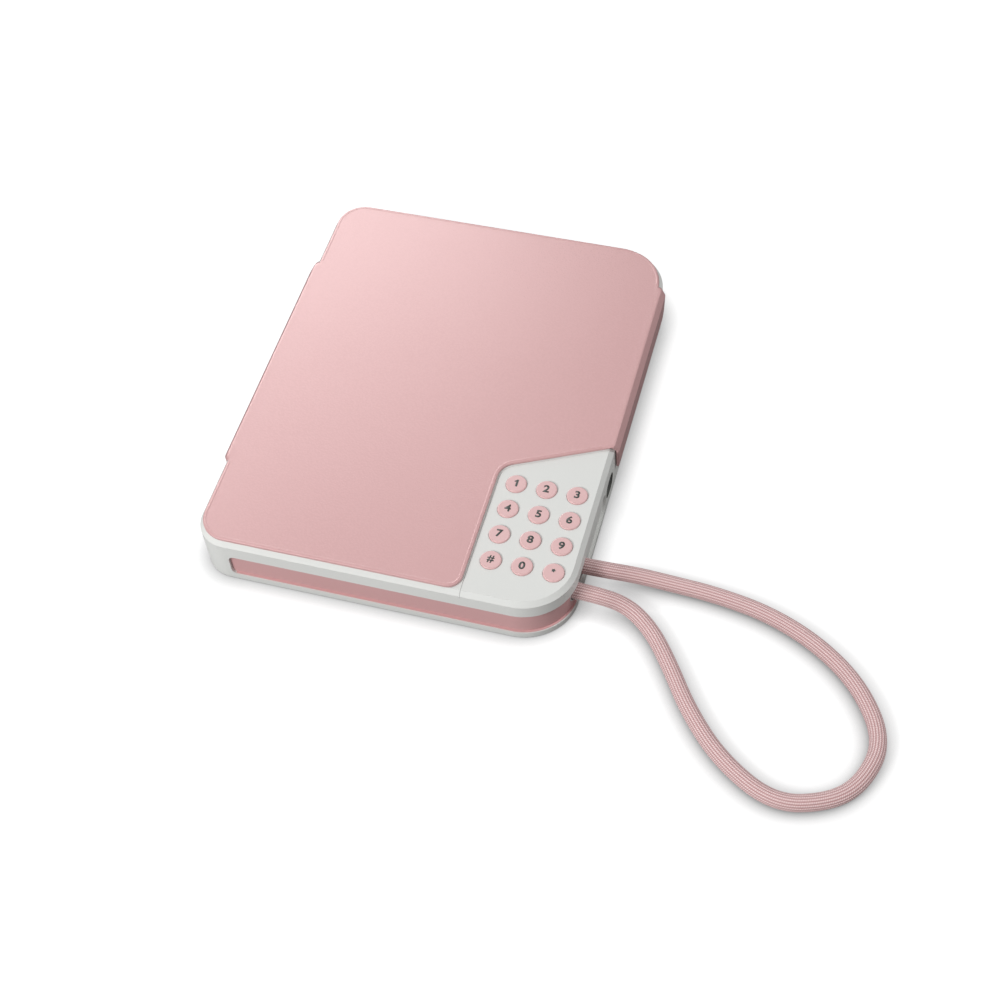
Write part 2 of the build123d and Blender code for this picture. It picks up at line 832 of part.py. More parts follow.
def wrist_cord():
    """Round elastic cord from the anchor, down to the table, round a loose loop and back."""
    out_x = anchor_face_x + cord_first_run
    leave = [(anchor_face_x, cord_exit_far_y, cord_level), (out_x, cord_exit_far_y, cord_level)]
    enter = [(out_x, cord_exit_near_y, cord_level), (anchor_face_x, cord_exit_near_y, cord_level)]
    bends = [(half_width + out, -half_length + back, level) for out, back, level in cord_route]
    points = [Vector(*p) for p in leave + bends + enter]
    radii = []
    for before, corner, after in zip(points, points[1:], points[2:]):
        first, second = corner - before, after - corner
        half_turn = math.radians(first.get_angle(second)) / 2
        radii.append(0.45 * min(first.length, second.length) / math.tan(half_turn))
    path = FilletPolyline(*points, radius=radii)
    start = Plane(origin=path @ 0, z_dir=path % 0)
    tube = sweep(start * Circle(cord_diameter / 2), path=path)
    print("cord length", round(path.length, 1), "radii", [round(r, 1) for r in radii])
    section = math.pi * cord_diameter ** 2 / 4
    print("cord volume over section times length", round(tube.volume / (section * path.length), 4))
    return tube


# ---- Cover ----
def cover_plan(inset=0.0):
    """Plan of the cover: the case's outline, short of the bevel, less the keypad's corner."""
    plan = case_outline(cover_inset + inset) - keypad_region(cover_key_gap + inset)
    corner = (panel_left - cover_key_gap - inset, -half_length + cover_inset + inset, 0)
    near = plan.vertices().sort_by_distance(corner)[0]
    return fillet(near, cover_key_corner - inset)


def cover_skin():
    """Leathercloth over the top of the cover, turned down round the board's edge."""
    solid = prism(cover_plan(), cover_bottom, cover_top)
    solid = fillet(solid.faces().sort_by(Axis.Z)[-1].outer_wire().edges(), cover_edge_round)
    return solid - prism(cover_plan(board_inset), cover_bottom, cover_top - skin_thickness)


def cover_board():
    """Stiff board inside the skin."""
    return prism(cover_plan(board_inset + board_fit), cover_bottom, cover_top - skin_thickness)


def lid_liner():
    """Lining panel under the board that drops into the store's opening and centres the cover."""
    solid = prism(store_plan(-liner_clearance), liner_bottom, cover_bottom)
    for x, y in strike_screw_places():
        solid -= upright(small_screw_radius, x, y, liner_bottom - 1, cover_bottom - lid_gap)
    return solid


def strike_screw_places():
    """Two screws through the strike's foot."""
    x = strike_x - strike_foot_length / 2
    return [(x, lock_y - strike_width / 4), (x, lock_y + strike_width / 4)]


def strike_plate():
    """Bent steel strike: a foot under the liner and a tongue with a window for the bolt."""
    half = strike_width / 2
    foot_bottom = liner_bottom - strike_thickness
    foot = block(strike_x - strike_foot_length, strike_x + strike_thickness, lock_y - half, lock_y + half,
                 foot_bottom, liner_bottom)
    tongue = block(strike_x, strike_x + strike_thickness, lock_y - half, lock_y + half,
                   lock_level - strike_tail, foot_bottom)
    window_half = strike_window_width / 2
    window = block(strike_x - 1, strike_x + 2, lock_y - window_half, lock_y + window_half,
                   lock_level - strike_window_height / 2, lock_level + strike_window_height / 2)
    solid = foot + tongue - window
    for x, y in strike_screw_places():
        solid -= upright(small_screw_radius + seat_gap, x, y, foot_bottom - 1, liner_bottom + 1)
    return solid


def strike_screws():
    """Two small screws that hold the strike to the cover."""
    screws = []
    foot_bottom = liner_bottom - strike_thickness
    for x, y in strike_screw_places():
        head = upright(small_head_radius, x, y, foot_bottom - small_head_height, foot_bottom)
        screws.append(head + upright(small_screw_radius, x, y, foot_bottom, cover_bottom - lid_gap))
    return Compound(children=screws)


def edge_section():
    """Leather section that leaves the crease, follows the bevel and runs down the right wall."""
    inner_x = half_width + leather_clearance
    outer_x = inner_x + leather_thickness
    bevel_sum = half_width + deck_level - edge_bevel
    inner_sum = bevel_sum + leather_clearance * math.sqrt(2)
    outer_sum = inner_sum + leather_thickness * math.sqrt(2)
    start = crease_x + crease_gap
    return [(start, cover_top), (outer_sum - cover_top, cover_top), (outer_x, outer_sum - outer_x),
            (outer_x, flap_low), (inner_x, flap_low), (inner_x, inner_sum - inner_x),
            (start, inner_sum - start)]


def leather_edge(side, low_y, high_y):
    """Extrude the edge section along Y on the right side (1) or mirrored on the left side (-1)."""
    points = [(side * x, z) for x, z in edge_section()]
    face = Plane(origin=(0, high_y, 0), x_dir=(1, 0, 0), z_dir=(0, -1, 0)) * Polygon(*points, align=None)
    return extrude(face, high_y - low_y, dir=(0, -1, 0))


def closure_flap():
    """Flap of the cover that hangs over the right wall, with a pocket for its steel strip."""
    solid = leather_edge(1, flap_near, flap_far)
    outer_x = half_width + leather_clearance + leather_thickness
    low_edges = [e for e in solid.edges().filter_by(Axis.X) if abs(e.center().Z - flap_low) < 0.01]
    solid = fillet(low_edges, flap_corner)
    slope = Polygon((crease_x, flap_far), (outer_x + 1, flap_far - flap_far_slope),
                    (outer_x + 1, flap_far + 1), (crease_x, flap_far + 1), align=None)
    solid -= prism(slope, flap_low - 1, cover_top + 1)
    return solid - flap_plate_block(seat_gap)


def flap_plate_block(gap=0.0):
    """Steel strip inside the flap, or with a gap its pocket."""
    inner_x = half_width + leather_clearance
    low = flap_low + flap_plate_margin - gap
    high = deck_level - edge_bevel - flap_plate_top_gap + gap
    return block(inner_x - gap, inner_x + flap_plate_thickness + gap, flap_near + flap_plate_margin - gap,
                 flap_far - 2 * flap_plate_margin + gap, low, high)


def flap_plate():
    """Steel strip that the wall's magnets hold."""
    return flap_plate_block()


def spine_strip():
    """Leather hinge on the left side, wider where it leaves the cover."""
    solid = leather_edge(-1, -spine_half_length - spine_flare, spine_half_length + spine_flare)
    outer_x = -half_width - leather_clearance - leather_thickness
    for side in (-1, 1):
        flare = Polygon((-crease_x, side * (spine_half_length + spine_flare)),
                        (outer_x, side * spine_half_length), (outer_x - 1, side * spine_half_length),
                        (outer_x - 1, side * (spine_half_length + 2 * spine_flare)),
                        (-crease_x, side * (spine_half_length + 2 * spine_flare)), align=None)
        solid -= prism(flare, flap_low - 1, cover_top + 1)
    return solid


def build():
    """Make every piece and write it."""
    save(case_body(), "case_body")
    save(bottom_cover(), "bottom_cover")
    save(case_screws(), "case_screws")
    save(rubber_feet(), "rubber_feet")
    save(groove_inlay(), "groove_inlay")
    save(storage_tray(), "storage_tray")
    save(notebook_cover(), "notebook_cover")
    save(notebook_pages(), "notebook_pages")
    save(keypad_panel(), "keypad_panel")
    for row, names in enumerate(key_names):
        for column, name in enumerate(names):
            save(key(column, row), "key_" + name)
    save(key_mat(), "key_mat")
    save(keypad_board(), "keypad_board")
    save(board_screws(), "board_screws")
    save(main_chip(), "main_chip")
    save(buzzer(), "buzzer")
    save(usb_board(), "usb_board")
    save(usb_bezel(), "usb_bezel")
    save(usb_socket(), "usb_socket")
    save(usb_tongue(), "usb_tongue")
    save(battery(), "battery")
    save(lock_frame(), "lock_frame")
    save(lock_coil(), "lock_coil")
    save(lock_bolt(), "lock_bolt")
    save(bolt_spring(), "bolt_spring")
    save(Compound(children=magnet_blocks()), "flap_magnets")
    save(cord_anchor(), "cord_anchor")
    save(anchor_screws(), "anchor_screws")
    save(wrist_cord(), "wrist_cord")
    save(cover_skin(), "cover_skin")
    save(cover_board(), "cover_board")
    save(lid_liner(), "lid_liner")
    save(strike_plate(), "strike_plate")
    save(strike_screws(), "strike_screws")
    save(closure_flap(), "closure_flap")
    save(flap_plate(), "flap_plate")
    save(spine_strip(), "spine_strip")


os.makedirs("parts", exist_ok=True)
build()
print("hinges: cover at x", round(-hinge_x, 3), "flap at x", round(hinge_x, 3), "level", round(hinge_level, 3))
print("key travel", key_travel, "bolt travel", bolt_travel, "lock at", lock_y, round(lock_level, 3))
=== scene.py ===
# %% [markdown]
# The diary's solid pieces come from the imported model, in their places and in metres. The box round
# them is noted before anything is added, so that the dressed diary can be compared with it later.

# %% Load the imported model
import json
import math

import bmesh
import bpy
import numpy as np
from mathutils import Matrix, Vector


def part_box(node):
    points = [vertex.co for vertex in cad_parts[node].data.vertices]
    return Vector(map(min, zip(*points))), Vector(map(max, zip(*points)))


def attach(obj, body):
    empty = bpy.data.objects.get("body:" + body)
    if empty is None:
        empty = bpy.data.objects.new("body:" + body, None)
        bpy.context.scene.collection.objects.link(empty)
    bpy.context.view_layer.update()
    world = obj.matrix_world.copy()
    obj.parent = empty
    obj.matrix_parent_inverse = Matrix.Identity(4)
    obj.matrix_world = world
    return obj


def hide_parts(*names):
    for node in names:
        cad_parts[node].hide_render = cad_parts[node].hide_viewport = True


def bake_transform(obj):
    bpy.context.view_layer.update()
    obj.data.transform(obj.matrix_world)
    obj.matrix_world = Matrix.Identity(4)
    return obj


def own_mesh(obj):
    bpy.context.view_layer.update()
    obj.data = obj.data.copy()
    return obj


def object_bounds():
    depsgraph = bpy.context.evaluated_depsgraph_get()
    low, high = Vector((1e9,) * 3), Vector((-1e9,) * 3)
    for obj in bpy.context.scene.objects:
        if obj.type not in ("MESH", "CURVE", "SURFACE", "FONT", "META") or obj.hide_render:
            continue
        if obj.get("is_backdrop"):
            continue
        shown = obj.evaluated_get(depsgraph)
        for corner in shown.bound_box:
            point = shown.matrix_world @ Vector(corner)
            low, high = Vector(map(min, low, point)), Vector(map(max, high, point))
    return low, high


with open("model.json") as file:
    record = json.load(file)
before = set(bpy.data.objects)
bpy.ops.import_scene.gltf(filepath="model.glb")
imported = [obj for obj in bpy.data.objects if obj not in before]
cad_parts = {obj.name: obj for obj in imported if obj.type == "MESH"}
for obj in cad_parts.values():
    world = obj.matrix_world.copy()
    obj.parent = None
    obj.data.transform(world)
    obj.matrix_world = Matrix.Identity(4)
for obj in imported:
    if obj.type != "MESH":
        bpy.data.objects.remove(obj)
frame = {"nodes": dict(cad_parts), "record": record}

nodes = frame["nodes"]
cad_low, cad_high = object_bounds()


def placed(name, data):
    """Object in the scene for a mesh, a curve, a lamp or a camera."""
    made = bpy.data.objects.new(name, data)
    bpy.context.scene.collection.objects.link(made)
    return made


cad_size = [round(b - a, 4) for a, b in zip(cad_low, cad_high)]
print(len(nodes), "solid pieces in a box of", cad_size, "m")

# %% [markdown]
# The camera stands in front of the diary and to its right, about as far away as a person who
# looks down at a table. A lens of 60 mm keeps the far end only a little smaller than the near
# one. The camera's place is given as a point and three turns, because a camera that is aimed
# with a constraint can't lean to one side, and this one does.

# %% Camera
eye = Vector((0.180601, -0.447152, 0.597746))
heading, down, lean = math.radians(-19.561), math.radians(53.859), math.radians(-4.931)
forward = Vector((math.cos(down) * math.sin(heading), math.cos(down) * math.cos(heading),
                  -math.sin(down)))
level_right = Vector((math.cos(heading), -math.sin(heading), 0))
level_up = level_right.cross(forward)
right = math.cos(lean) * level_right + math.sin(lean) * level_up
up = -math.sin(lean) * level_right + math.cos(lean) * level_up
camera = placed("camera", bpy.data.cameras.new("camera"))
camera.data.sensor_width = 36
camera.data.lens = 60.736
turn = Matrix((right, up, -forward)).transposed().to_4x4()
camera.matrix_world = Matrix.Translation(eye) @ turn
bpy.context.scene.camera = camera
print("camera at", [round(v, 3) for v in eye], "lens", camera.data.lens)

# %% [markdown]
# The wrist loop is a round elastic cord. It leaves the right wall, sinks to the table, runs round
# a loose loop and comes back. A NURBS spline with a few control points makes that line: it has no
# corners, and a point that is moved by hand bends only its own stretch. The order of 3 and the
# ends that reach the last points are set after the points exist, because Blender lowers the order
# of a spline that has too few.

# %% Line of the wrist loop
cord_points = [
    (0.0764, -0.0680, 0.0111), (0.0875, -0.0680, 0.0111), (0.1020, -0.0637, 0.0054),
    (0.1171, -0.0633, 0.0036), (0.1359, -0.0643, 0.0036), (0.1594, -0.0685, 0.0036),
    (0.1819, -0.0787, 0.0036), (0.2002, -0.0940, 0.0036), (0.2122, -0.1155, 0.0036),
    (0.2074, -0.1350, 0.0036), (0.1966, -0.1462, 0.0036), (0.1757, -0.1523, 0.0036),
    (0.1529, -0.1392, 0.0036), (0.1364, -0.1211, 0.0036), (0.1237, -0.1009, 0.0036),
    (0.1134, -0.0871, 0.0036), (0.1015, -0.0791, 0.0054), (0.0875, -0.0806, 0.0111),
    (0.0764, -0.0806, 0.0111),
]
cord_diameter = 0.007
line = bpy.data.curves.new("loop_line", "CURVE")
line.dimensions = "3D"
spline = line.splines.new("NURBS")
spline.points.add(len(cord_points) - 1)
for point, place in zip(spline.points, cord_points):
    point.co = (*place, 1)
spline.order_u = 3
spline.use_endpoint_u = True
spline.resolution_u = 36
loop_line = placed("loop_line", line)


def plain_mesh(source, name):
    """Turns an object with its modifiers into a plain mesh object of its own."""
    bpy.context.view_layer.update()
    ready = source.evaluated_get(bpy.context.evaluated_depsgraph_get())
    mesh = bpy.data.meshes.new_from_object(ready)
    mesh.name = name
    return placed(name, mesh)


sampled = plain_mesh(loop_line, "loop_sampled")
bpy.data.objects.remove(sampled)

# %% [markdown]
# Elastic cord like this is a rubber core with a knitted sleeve, which shows as fine ribs along its
# length. The ribs could be a bump texture, but they also show on the outline of a cord this thick,
# so they are real shape here. Geometry Nodes make the sleeve: a circle whose radius waves eighteen
# times round is swept along the line. The place round the cord and the place along it are kept as
# an attribute, so that the material can draw the stitches on the surface, not through space.

# %% Sleeve of the wrist loop, by Geometry Nodes


def new_tree(name, **inputs):
    """Makes a Geometry Nodes tree with a shape, named values and a finish as its inputs."""
    tree = bpy.data.node_groups.new(name, "GeometryNodeTree")
    tree.is_modifier = True
    tree.interface.new_socket("Geometry", in_out="INPUT", socket_type="NodeSocketGeometry")
    for label, kind in inputs.items():
        title = label.replace("_", " ")
        tree.interface.new_socket(title, in_out="INPUT", socket_type="NodeSocket" + kind)
    tree.interface.new_socket("Finish", in_out="INPUT", socket_type="NodeSocketMaterial")
    tree.interface.new_socket("Geometry", in_out="OUTPUT", socket_type="NodeSocketGeometry")
    tree.nodes.new("NodeGroupInput").name = "in"
    tree.nodes.new("NodeGroupOutput").name = "out"
    return tree


def add(tree, kind, sockets=None, **settings):
    """Adds a node and sets its properties, and then the values of its input sockets."""
    node = tree.nodes.new(kind)
    for key, value in settings.items():
        setattr(node, key, value)
    for key, value in (sockets or {}).items():
        node.inputs[key].default_value = value
    return node


def outlet(term):
    """Output of a node: its first, or the one that (node, name or number) says."""
    node, which = term if isinstance(term, tuple) else (term, 0)
    return node.outputs[which]


def wire(tree, *pairs):
    """Joins an output to an input in each pair. Each is a node or (node, name or number)."""
    for source, target in pairs:
        node, which = target if isinstance(target, tuple) else (target, 0)
        tree.links.new(outlet(source), node.inputs[which])


def sum_up(tree, operation, *terms):
    """A Math node of the given kind whose terms are numbers or outputs."""
    node = add(tree, "ShaderNodeMath", operation=operation)
    for socket, term in zip(node.inputs, terms):
        if isinstance(term, (int, float)):
            socket.default_value = term
        else:
            tree.links.new(outlet(term), socket)
    return node


def wave(tree, kind, count, turn=math.pi):
    """SINE or COSINE of an output times a turn."""
    angle = sum_up(tree, "MULTIPLY", count, turn)
    return sum_up(tree, kind, angle)


def end_tree(tree, last):
    """Ends a tree: its copies become real, they get the finish, and they go out."""
    real = add(tree, "GeometryNodeRealizeInstances")
    coat = add(tree, "GeometryNodeSetMaterial")
    wire(tree, (last, real), (real, coat),
         ((tree.nodes["in"], "Finish"), (coat, "Material")), (coat, (tree.nodes["out"], 0)))


ribs_round, points_per_rib = 18, 6
sleeve = new_tree("woven_sleeve", Radius="Float", Ribs="Float", Rib_depth="Float")
entry = sleeve.nodes["in"]
ring = add(sleeve, "GeometryNodeCurvePrimitiveCircle", {"Resolution": ribs_round * points_per_rib})
ring_at = add(sleeve, "GeometryNodeSplineParameter")
ring_turn = sum_up(sleeve, "MULTIPLY", (ring_at, "Factor"), (entry, "Ribs"))
ring_wave = wave(sleeve, "COSINE", ring_turn)
ring_crown = sum_up(sleeve, "ABSOLUTE", ring_wave)
ring_lift = sum_up(sleeve, "MULTIPLY", ring_crown, (entry, "Rib depth"))
ring_base = sum_up(sleeve, "SUBTRACT", (entry, "Radius"), (entry, "Rib depth"))
ring_radius = sum_up(sleeve, "ADD", ring_base, ring_lift)
ring_place = add(sleeve, "GeometryNodeInputPosition")
ring_out = add(sleeve, "ShaderNodeVectorMath", operation="NORMALIZE")
ring_point = add(sleeve, "ShaderNodeVectorMath", operation="SCALE")
ring_set = add(sleeve, "GeometryNodeSetPosition")
ring_round = add(sleeve, "GeometryNodeCaptureAttribute")
ring_round.capture_items.new("FLOAT", "round")
along = add(sleeve, "GeometryNodeSplineParameter")
along_kept = add(sleeve, "GeometryNodeCaptureAttribute")
along_kept.capture_items.new("FLOAT", "along")
tube = add(sleeve, "GeometryNodeCurveToMesh", {"Fill Caps": True})
both = add(sleeve, "ShaderNodeCombineXYZ")
store = add(sleeve, "GeometryNodeStoreNamedAttribute", {"Name": "sleeve_place"},
            data_type="FLOAT_VECTOR", domain="POINT")
smooth = add(sleeve, "GeometryNodeSetShadeSmooth")
wire(sleeve, (ring_place, ring_out), (ring_out, ring_point),
     (ring_radius, (ring_point, "Scale")), (ring, ring_round),
     ((ring_at, "Factor"), (ring_round, 1)), (ring_round, ring_set),
     (ring_point, (ring_set, "Position")), ((entry, "Geometry"), along_kept),
     ((along, "Length"), (along_kept, 1)), (along_kept, tube), (ring_set, (tube, 1)),
     ((ring_round, 1), both), ((along_kept, 1), (both, 1)), (tube, store),
     (both, (store, "Value")), (store, smooth))
end_tree(sleeve, smooth)
print("sleeve tree has", len(sleeve.nodes), "nodes")

# %% [markdown]
# Colours are easier to choose as the numbers from 0 to 255 that a screen shows, but shaders work
# in linear light. This helper turns one into the other, so that each finish can be written as it
# looks. Effects that several finishes could share are shader node groups, such as the grain of a
# moulding or the weave of a cloth. Each gives a height and a shade over the surface, and each
# material decides how deep and how dark they are.

# %% Helpers for finishes


def seen(red, green, blue):
    """Linear colour for a screen colour from 0 to 255."""
    def linear(v):
        v = v / 255
        return v / 12.92 if v <= 0.04045 else ((v + 0.055) / 1.055) ** 2.4
    return (linear(red), linear(green), linear(blue), 1.0)


def new_effect(name, *labels):
    """A shader node group with named number inputs that gives a height and a shade."""
    group = bpy.data.node_groups.new(name, "ShaderNodeTree")
    for label in labels:
        group.interface.new_socket(label, in_out="INPUT", socket_type="NodeSocketFloat")
    for label in ("Height", "Shade"):
        group.interface.new_socket(label, in_out="OUTPUT", socket_type="NodeSocketFloat")
    group.nodes.new("NodeGroupInput").name = "in"
    group.nodes.new("NodeGroupOutput").name = "out"
    return group, group.nodes["in"]


def give(effect, height, shade):
    """Wires an effect's two results and says how big it is."""
    out = effect.nodes["out"]
    wire(effect, (height, (out, "Height")), (shade, (out, "Shade")))
    print(effect.name, "has", len(effect.nodes), "nodes")


def shared(tree, one, share, other):
    """One value times its share, plus the other value times the rest."""
    first = sum_up(tree, "MULTIPLY", one, share)
    second = sum_up(tree, "MULTIPLY", other, 1 - share)
    return sum_up(tree, "ADD", first, second)


def spread(tree, value, low, high, to_low=0.0, to_high=1.0):
    """Map Range node on an output."""
    limits = {"From Min": low, "From Max": high, "To Min": to_low, "To Max": to_high}
    node = add(tree, "ShaderNodeMapRange", limits)
    wire(tree, (value, (node, "Value")))
    return node


def noise(tree, place, scale, detail=2.0, rough=0.5):
    """Noise over an output whose scale is another output."""
    node = add(tree, "ShaderNodeTexNoise", {"Detail": detail, "Roughness": rough})
    wire(tree, (place, (node, "Vector")), (scale, (node, "Scale")))
    return node


print("white as written:", [round(v, 3) for v in seen(216, 217, 214)])

# %% [markdown]
# A mould for plastic is etched or blasted, and leaves a very fine grain on the part. It is far too
# fine to model, so fine noise gives its height. A second, wide noise makes the shade drift a little
# over the part, because no real moulding is quite one colour.

# %% Effect: grain of a moulded part
moulded, entry = new_effect("moulded_grain", "Scale", "Clouds")
place = add(moulded, "ShaderNodeTexCoord")
pebble = noise(moulded, (place, "Object"), (entry, "Scale"), 3.0, 0.6)
cloud = noise(moulded, (place, "Object"), (entry, "Clouds"), 2.0, 0.5)
give(moulded, pebble, shared(moulded, cloud, 0.6, pebble))

# %% [markdown]
# Leathercloth is a coated cloth whose face is pressed with the pebbles of real leather. Voronoi
# cells are such pebbles: high in the middle and low where they meet. A finer noise breaks them up.

# %% Effect: pebble of leathercloth
pebbled, entry = new_effect("leather_pebble", "Scale", "Clouds")
place = add(pebbled, "ShaderNodeTexCoord")
cells = add(pebbled, "ShaderNodeTexVoronoi", {"Smoothness": 0.6}, feature="SMOOTH_F1")
wire(pebbled, ((place, "Object"), (cells, "Vector")), ((entry, "Scale"), (cells, "Scale")))
fine_scale = sum_up(pebbled, "MULTIPLY", (entry, "Scale"), 2.3)
fine = noise(pebbled, (place, "Object"), fine_scale, 3.0, 0.6)
cloud = noise(pebbled, (place, "Object"), (entry, "Clouds"), 3.0, 0.5)
domes = spread(pebbled, (cells, "Distance"), 0.0, 0.7, 1.0, 0.0)
height = shared(pebbled, domes, 0.55, fine)
give(pebbled, height, shared(pebbled, cloud, 0.5, height))

# %% [markdown]
# The cover is lined with a thin plain-woven cloth, whose threads pass over and under each other.
# Two sine waves at right angles, multiplied, are high and low in the same checker order.

# %% Effect: plain weave of a lining cloth
woven, entry = new_effect("plain_weave", "Threads per metre", "Clouds")
place = add(woven, "ShaderNodeTexCoord")
split = add(woven, "ShaderNodeSeparateXYZ")
wire(woven, ((place, "Object"), split))
waves = []
for axis in (0, 1):
    turns = sum_up(woven, "MULTIPLY", (split, axis), (entry, "Threads per metre"))
    waves.append(wave(woven, "SINE", turns))
crossing = sum_up(woven, "MULTIPLY", waves[0], waves[1])
level = spread(woven, crossing, -1.0, 1.0)
cloud = noise(woven, (place, "Object"), (entry, "Clouds"), 3.0, 0.6)
give(woven, level, shared(woven, cloud, 0.6, level))

# %% [markdown]
# The sleeve of the wrist loop is knitted, so each rib is a row of small stitches. The ribs are
# shape already, and the stitches are too small for that. They follow the cord, not the axes of
# space, so this effect reads the place that the sleeve's tree kept: round the cord and along it.
# Its shade is painted: darker in the valleys between ribs and stitches, as painted shade, and
# lighter on their crests, as a painted highlight.

# %% Effect: stitches on the wrist loop's sleeve
knit, entry = new_effect("sleeve_knit", "Ribs", "Stitch length")
kept = add(knit, "ShaderNodeAttribute", attribute_name="sleeve_place")
split = add(knit, "ShaderNodeSeparateXYZ")
wire(knit, ((kept, "Vector"), split))
rib_turn = sum_up(knit, "MULTIPLY", split, (entry, "Ribs"))
rib_wave = wave(knit, "COSINE", rib_turn)
rib_high = sum_up(knit, "ABSOLUTE", rib_wave)
stitch_turn = sum_up(knit, "DIVIDE", (split, 1), (entry, "Stitch length"))
stitch_shift = sum_up(knit, "MULTIPLY", rib_turn, 0.5)
stitch_sum = sum_up(knit, "ADD", stitch_turn, stitch_shift)
stitch_wave = wave(knit, "SINE", stitch_sum, 2 * math.pi)
stitch_high = spread(knit, stitch_wave, -1.0, 1.0)
knot = sum_up(knit, "MULTIPLY", rib_high, stitch_high)
# This level is also the shade: painted shade in the gaps, painted highlight on the crests.
level = shared(knit, rib_high, 0.4, knot)
give(knit, level, level)

# %% [markdown]
# The lock's coil is a bobbin wound with thin enamelled wire. Real turns would be thousands of
# faces on a piece that sits deep inside, so the turns are a bump: a wave along the bobbin's length
# whose crests are one wire apart. Most of the shade follows the same wave, so the grooves between
# turns are darker: that part is painted shade, and the rest is random tone.

# %% Effect: turns of wire on the coil
wound, entry = new_effect("wound_wire", "Turns per metre", "Clouds")
place = add(wound, "ShaderNodeTexCoord")
split = add(wound, "ShaderNodeSeparateXYZ")
wire(wound, ((place, "Object"), split))
turns = sum_up(wound, "MULTIPLY", split, (entry, "Turns per metre"))
turn_wave = wave(wound, "SINE", turns)
crest = sum_up(wound, "ABSOLUTE", turn_wave)
cloud = noise(wound, (place, "Object"), (entry, "Clouds"), 2.0, 0.5)
# Painted shade: the shade is darker in the grooves between turns.
give(wound, crest, shared(wound, crest, 0.7, cloud))

# %% [markdown]
# A finish is a Principled shader with its constants on its own sockets. The shade of its effect
# mixes two close colours and moves the roughness a little, and the height goes through a Bump
# node whose distance is the real depth of the grain in metres. This helper builds that frame, so
# that each finish below is a few numbers that can be compared.

# %% Helper: one finish


finish = {}


def new_finish(slot, name, effect, settings, dark, light, rough, depth, shader=None):
    """A slot's material: effect and settings, two screen colours, two roughnesses and a depth."""
    material = bpy.data.materials.new(name)
    material.use_nodes = True
    tree = material.node_tree
    tree.nodes.clear()
    out = add(tree, "ShaderNodeOutputMaterial")
    body = add(tree, "ShaderNodeBsdfPrincipled", shader)
    surface = add(tree, "ShaderNodeGroup", dict(enumerate(settings)), node_tree=effect)
    tint = add(tree, "ShaderNodeMix", {6: seen(*dark), 7: seen(*light)}, data_type="RGBA")
    gloss = spread(tree, (surface, "Shade"), 0.0, 1.0, rough[1], rough[0])
    relief = add(tree, "ShaderNodeBump", {"Strength": 1.0, "Distance": depth})
    wire(tree, ((surface, "Shade"), tint), ((tint, 2), (body, "Base Color")),
         (gloss, (body, "Roughness")), ((surface, "Height"), (relief, "Height")),
         (relief, (body, "Normal")), (body, out))
    finish[slot] = material


# %% [markdown]
# The case is a satin white moulding, which scatters light more than it mirrors it, so its specular
# level is below the usual half. The keys are smoother, because fingers polish them.

# %% Finishes: the white and pink mouldings
satin = {"Specular IOR Level": 0.35}
new_finish("white_case", "white_satin_plastic", moulded, (1700, 16), (218, 219, 216),
           (226, 227, 224), (0.50, 0.60), 0.000012, satin)
new_finish("pink_inlay", "pink_groove_strip", moulded, (1500, 22), (206, 160, 160), (213, 169, 169),
           (0.50, 0.60), 0.000012, satin)
new_finish("tray_pink", "pink_tray_plastic", moulded, (1300, 12), (217, 176, 175), (227, 188, 187),
           (0.45, 0.60), 0.000015)
new_finish("key_pink", "pink_key_plastic", moulded, (1900, 60), (219, 177, 177), (227, 187, 186),
           (0.34, 0.46), 0.000008, {"Specular IOR Level": 0.5})
print("mouldings:", sorted(finish))

# %% [markdown]
# The leathercloth's coating has a soft sheen that takes a little of the cloth's pink, so its
# mirror light is tinted. Woven and knitted goods have loose fibres that catch light from the side,
# which is what the sheen inputs are for. Paper is the mattest thing in the diary.

# %% Finishes: leathercloth, lining, elastic, paper and card
new_finish("leathercloth", "pink_leathercloth", pebbled, (1150, 10), (204, 160, 160),
           (218, 176, 176), (0.25, 0.31), 0.00004,
           {"Specular IOR Level": 0.5, "Specular Tint": seen(255, 228, 228)})
new_finish("liner_cloth", "pale_lining_cloth", woven, (1500, 24), (223, 193, 190), (236, 210, 207),
           (0.75, 0.9), 0.00006, {"Sheen Weight": 0.3})
# The elastic's dark colour is painted shade in the gaps between stitches, and its light colour a
# painted highlight on their crests.
new_finish("elastic", "ribbed_pink_elastic", knit, (ribs_round, 0.00085), (176, 124, 124),
           (255, 230, 229), (0.62, 0.8), 0.00015, {"Sheen Weight": 0.2, "Sheen Roughness": 0.5})
new_finish("cover_board", "pasted_board_lining", moulded, (900, 30), (214, 180, 178),
           (226, 195, 192), (0.7, 0.85), 0.00003)
new_finish("card", "coated_pink_card", moulded, (2200, 25), (226, 186, 190), (233, 197, 200),
           (0.5, 0.62), 0.00001, {"Specular IOR Level": 0.4})
new_finish("paper", "uncoated_paper", moulded, (2600, 40), (236, 232, 222), (246, 243, 236),
           (0.82, 0.95), 0.00001)
print("soft goods added:", len(finish), "finishes so far")

# %% [markdown]
# Inside are boards, a foil cell, steel, copper and magnets. Metals have no colour below their
# surface, only a tinted reflection, so Metallic is 1 for bare ones and a little less under lacquer.

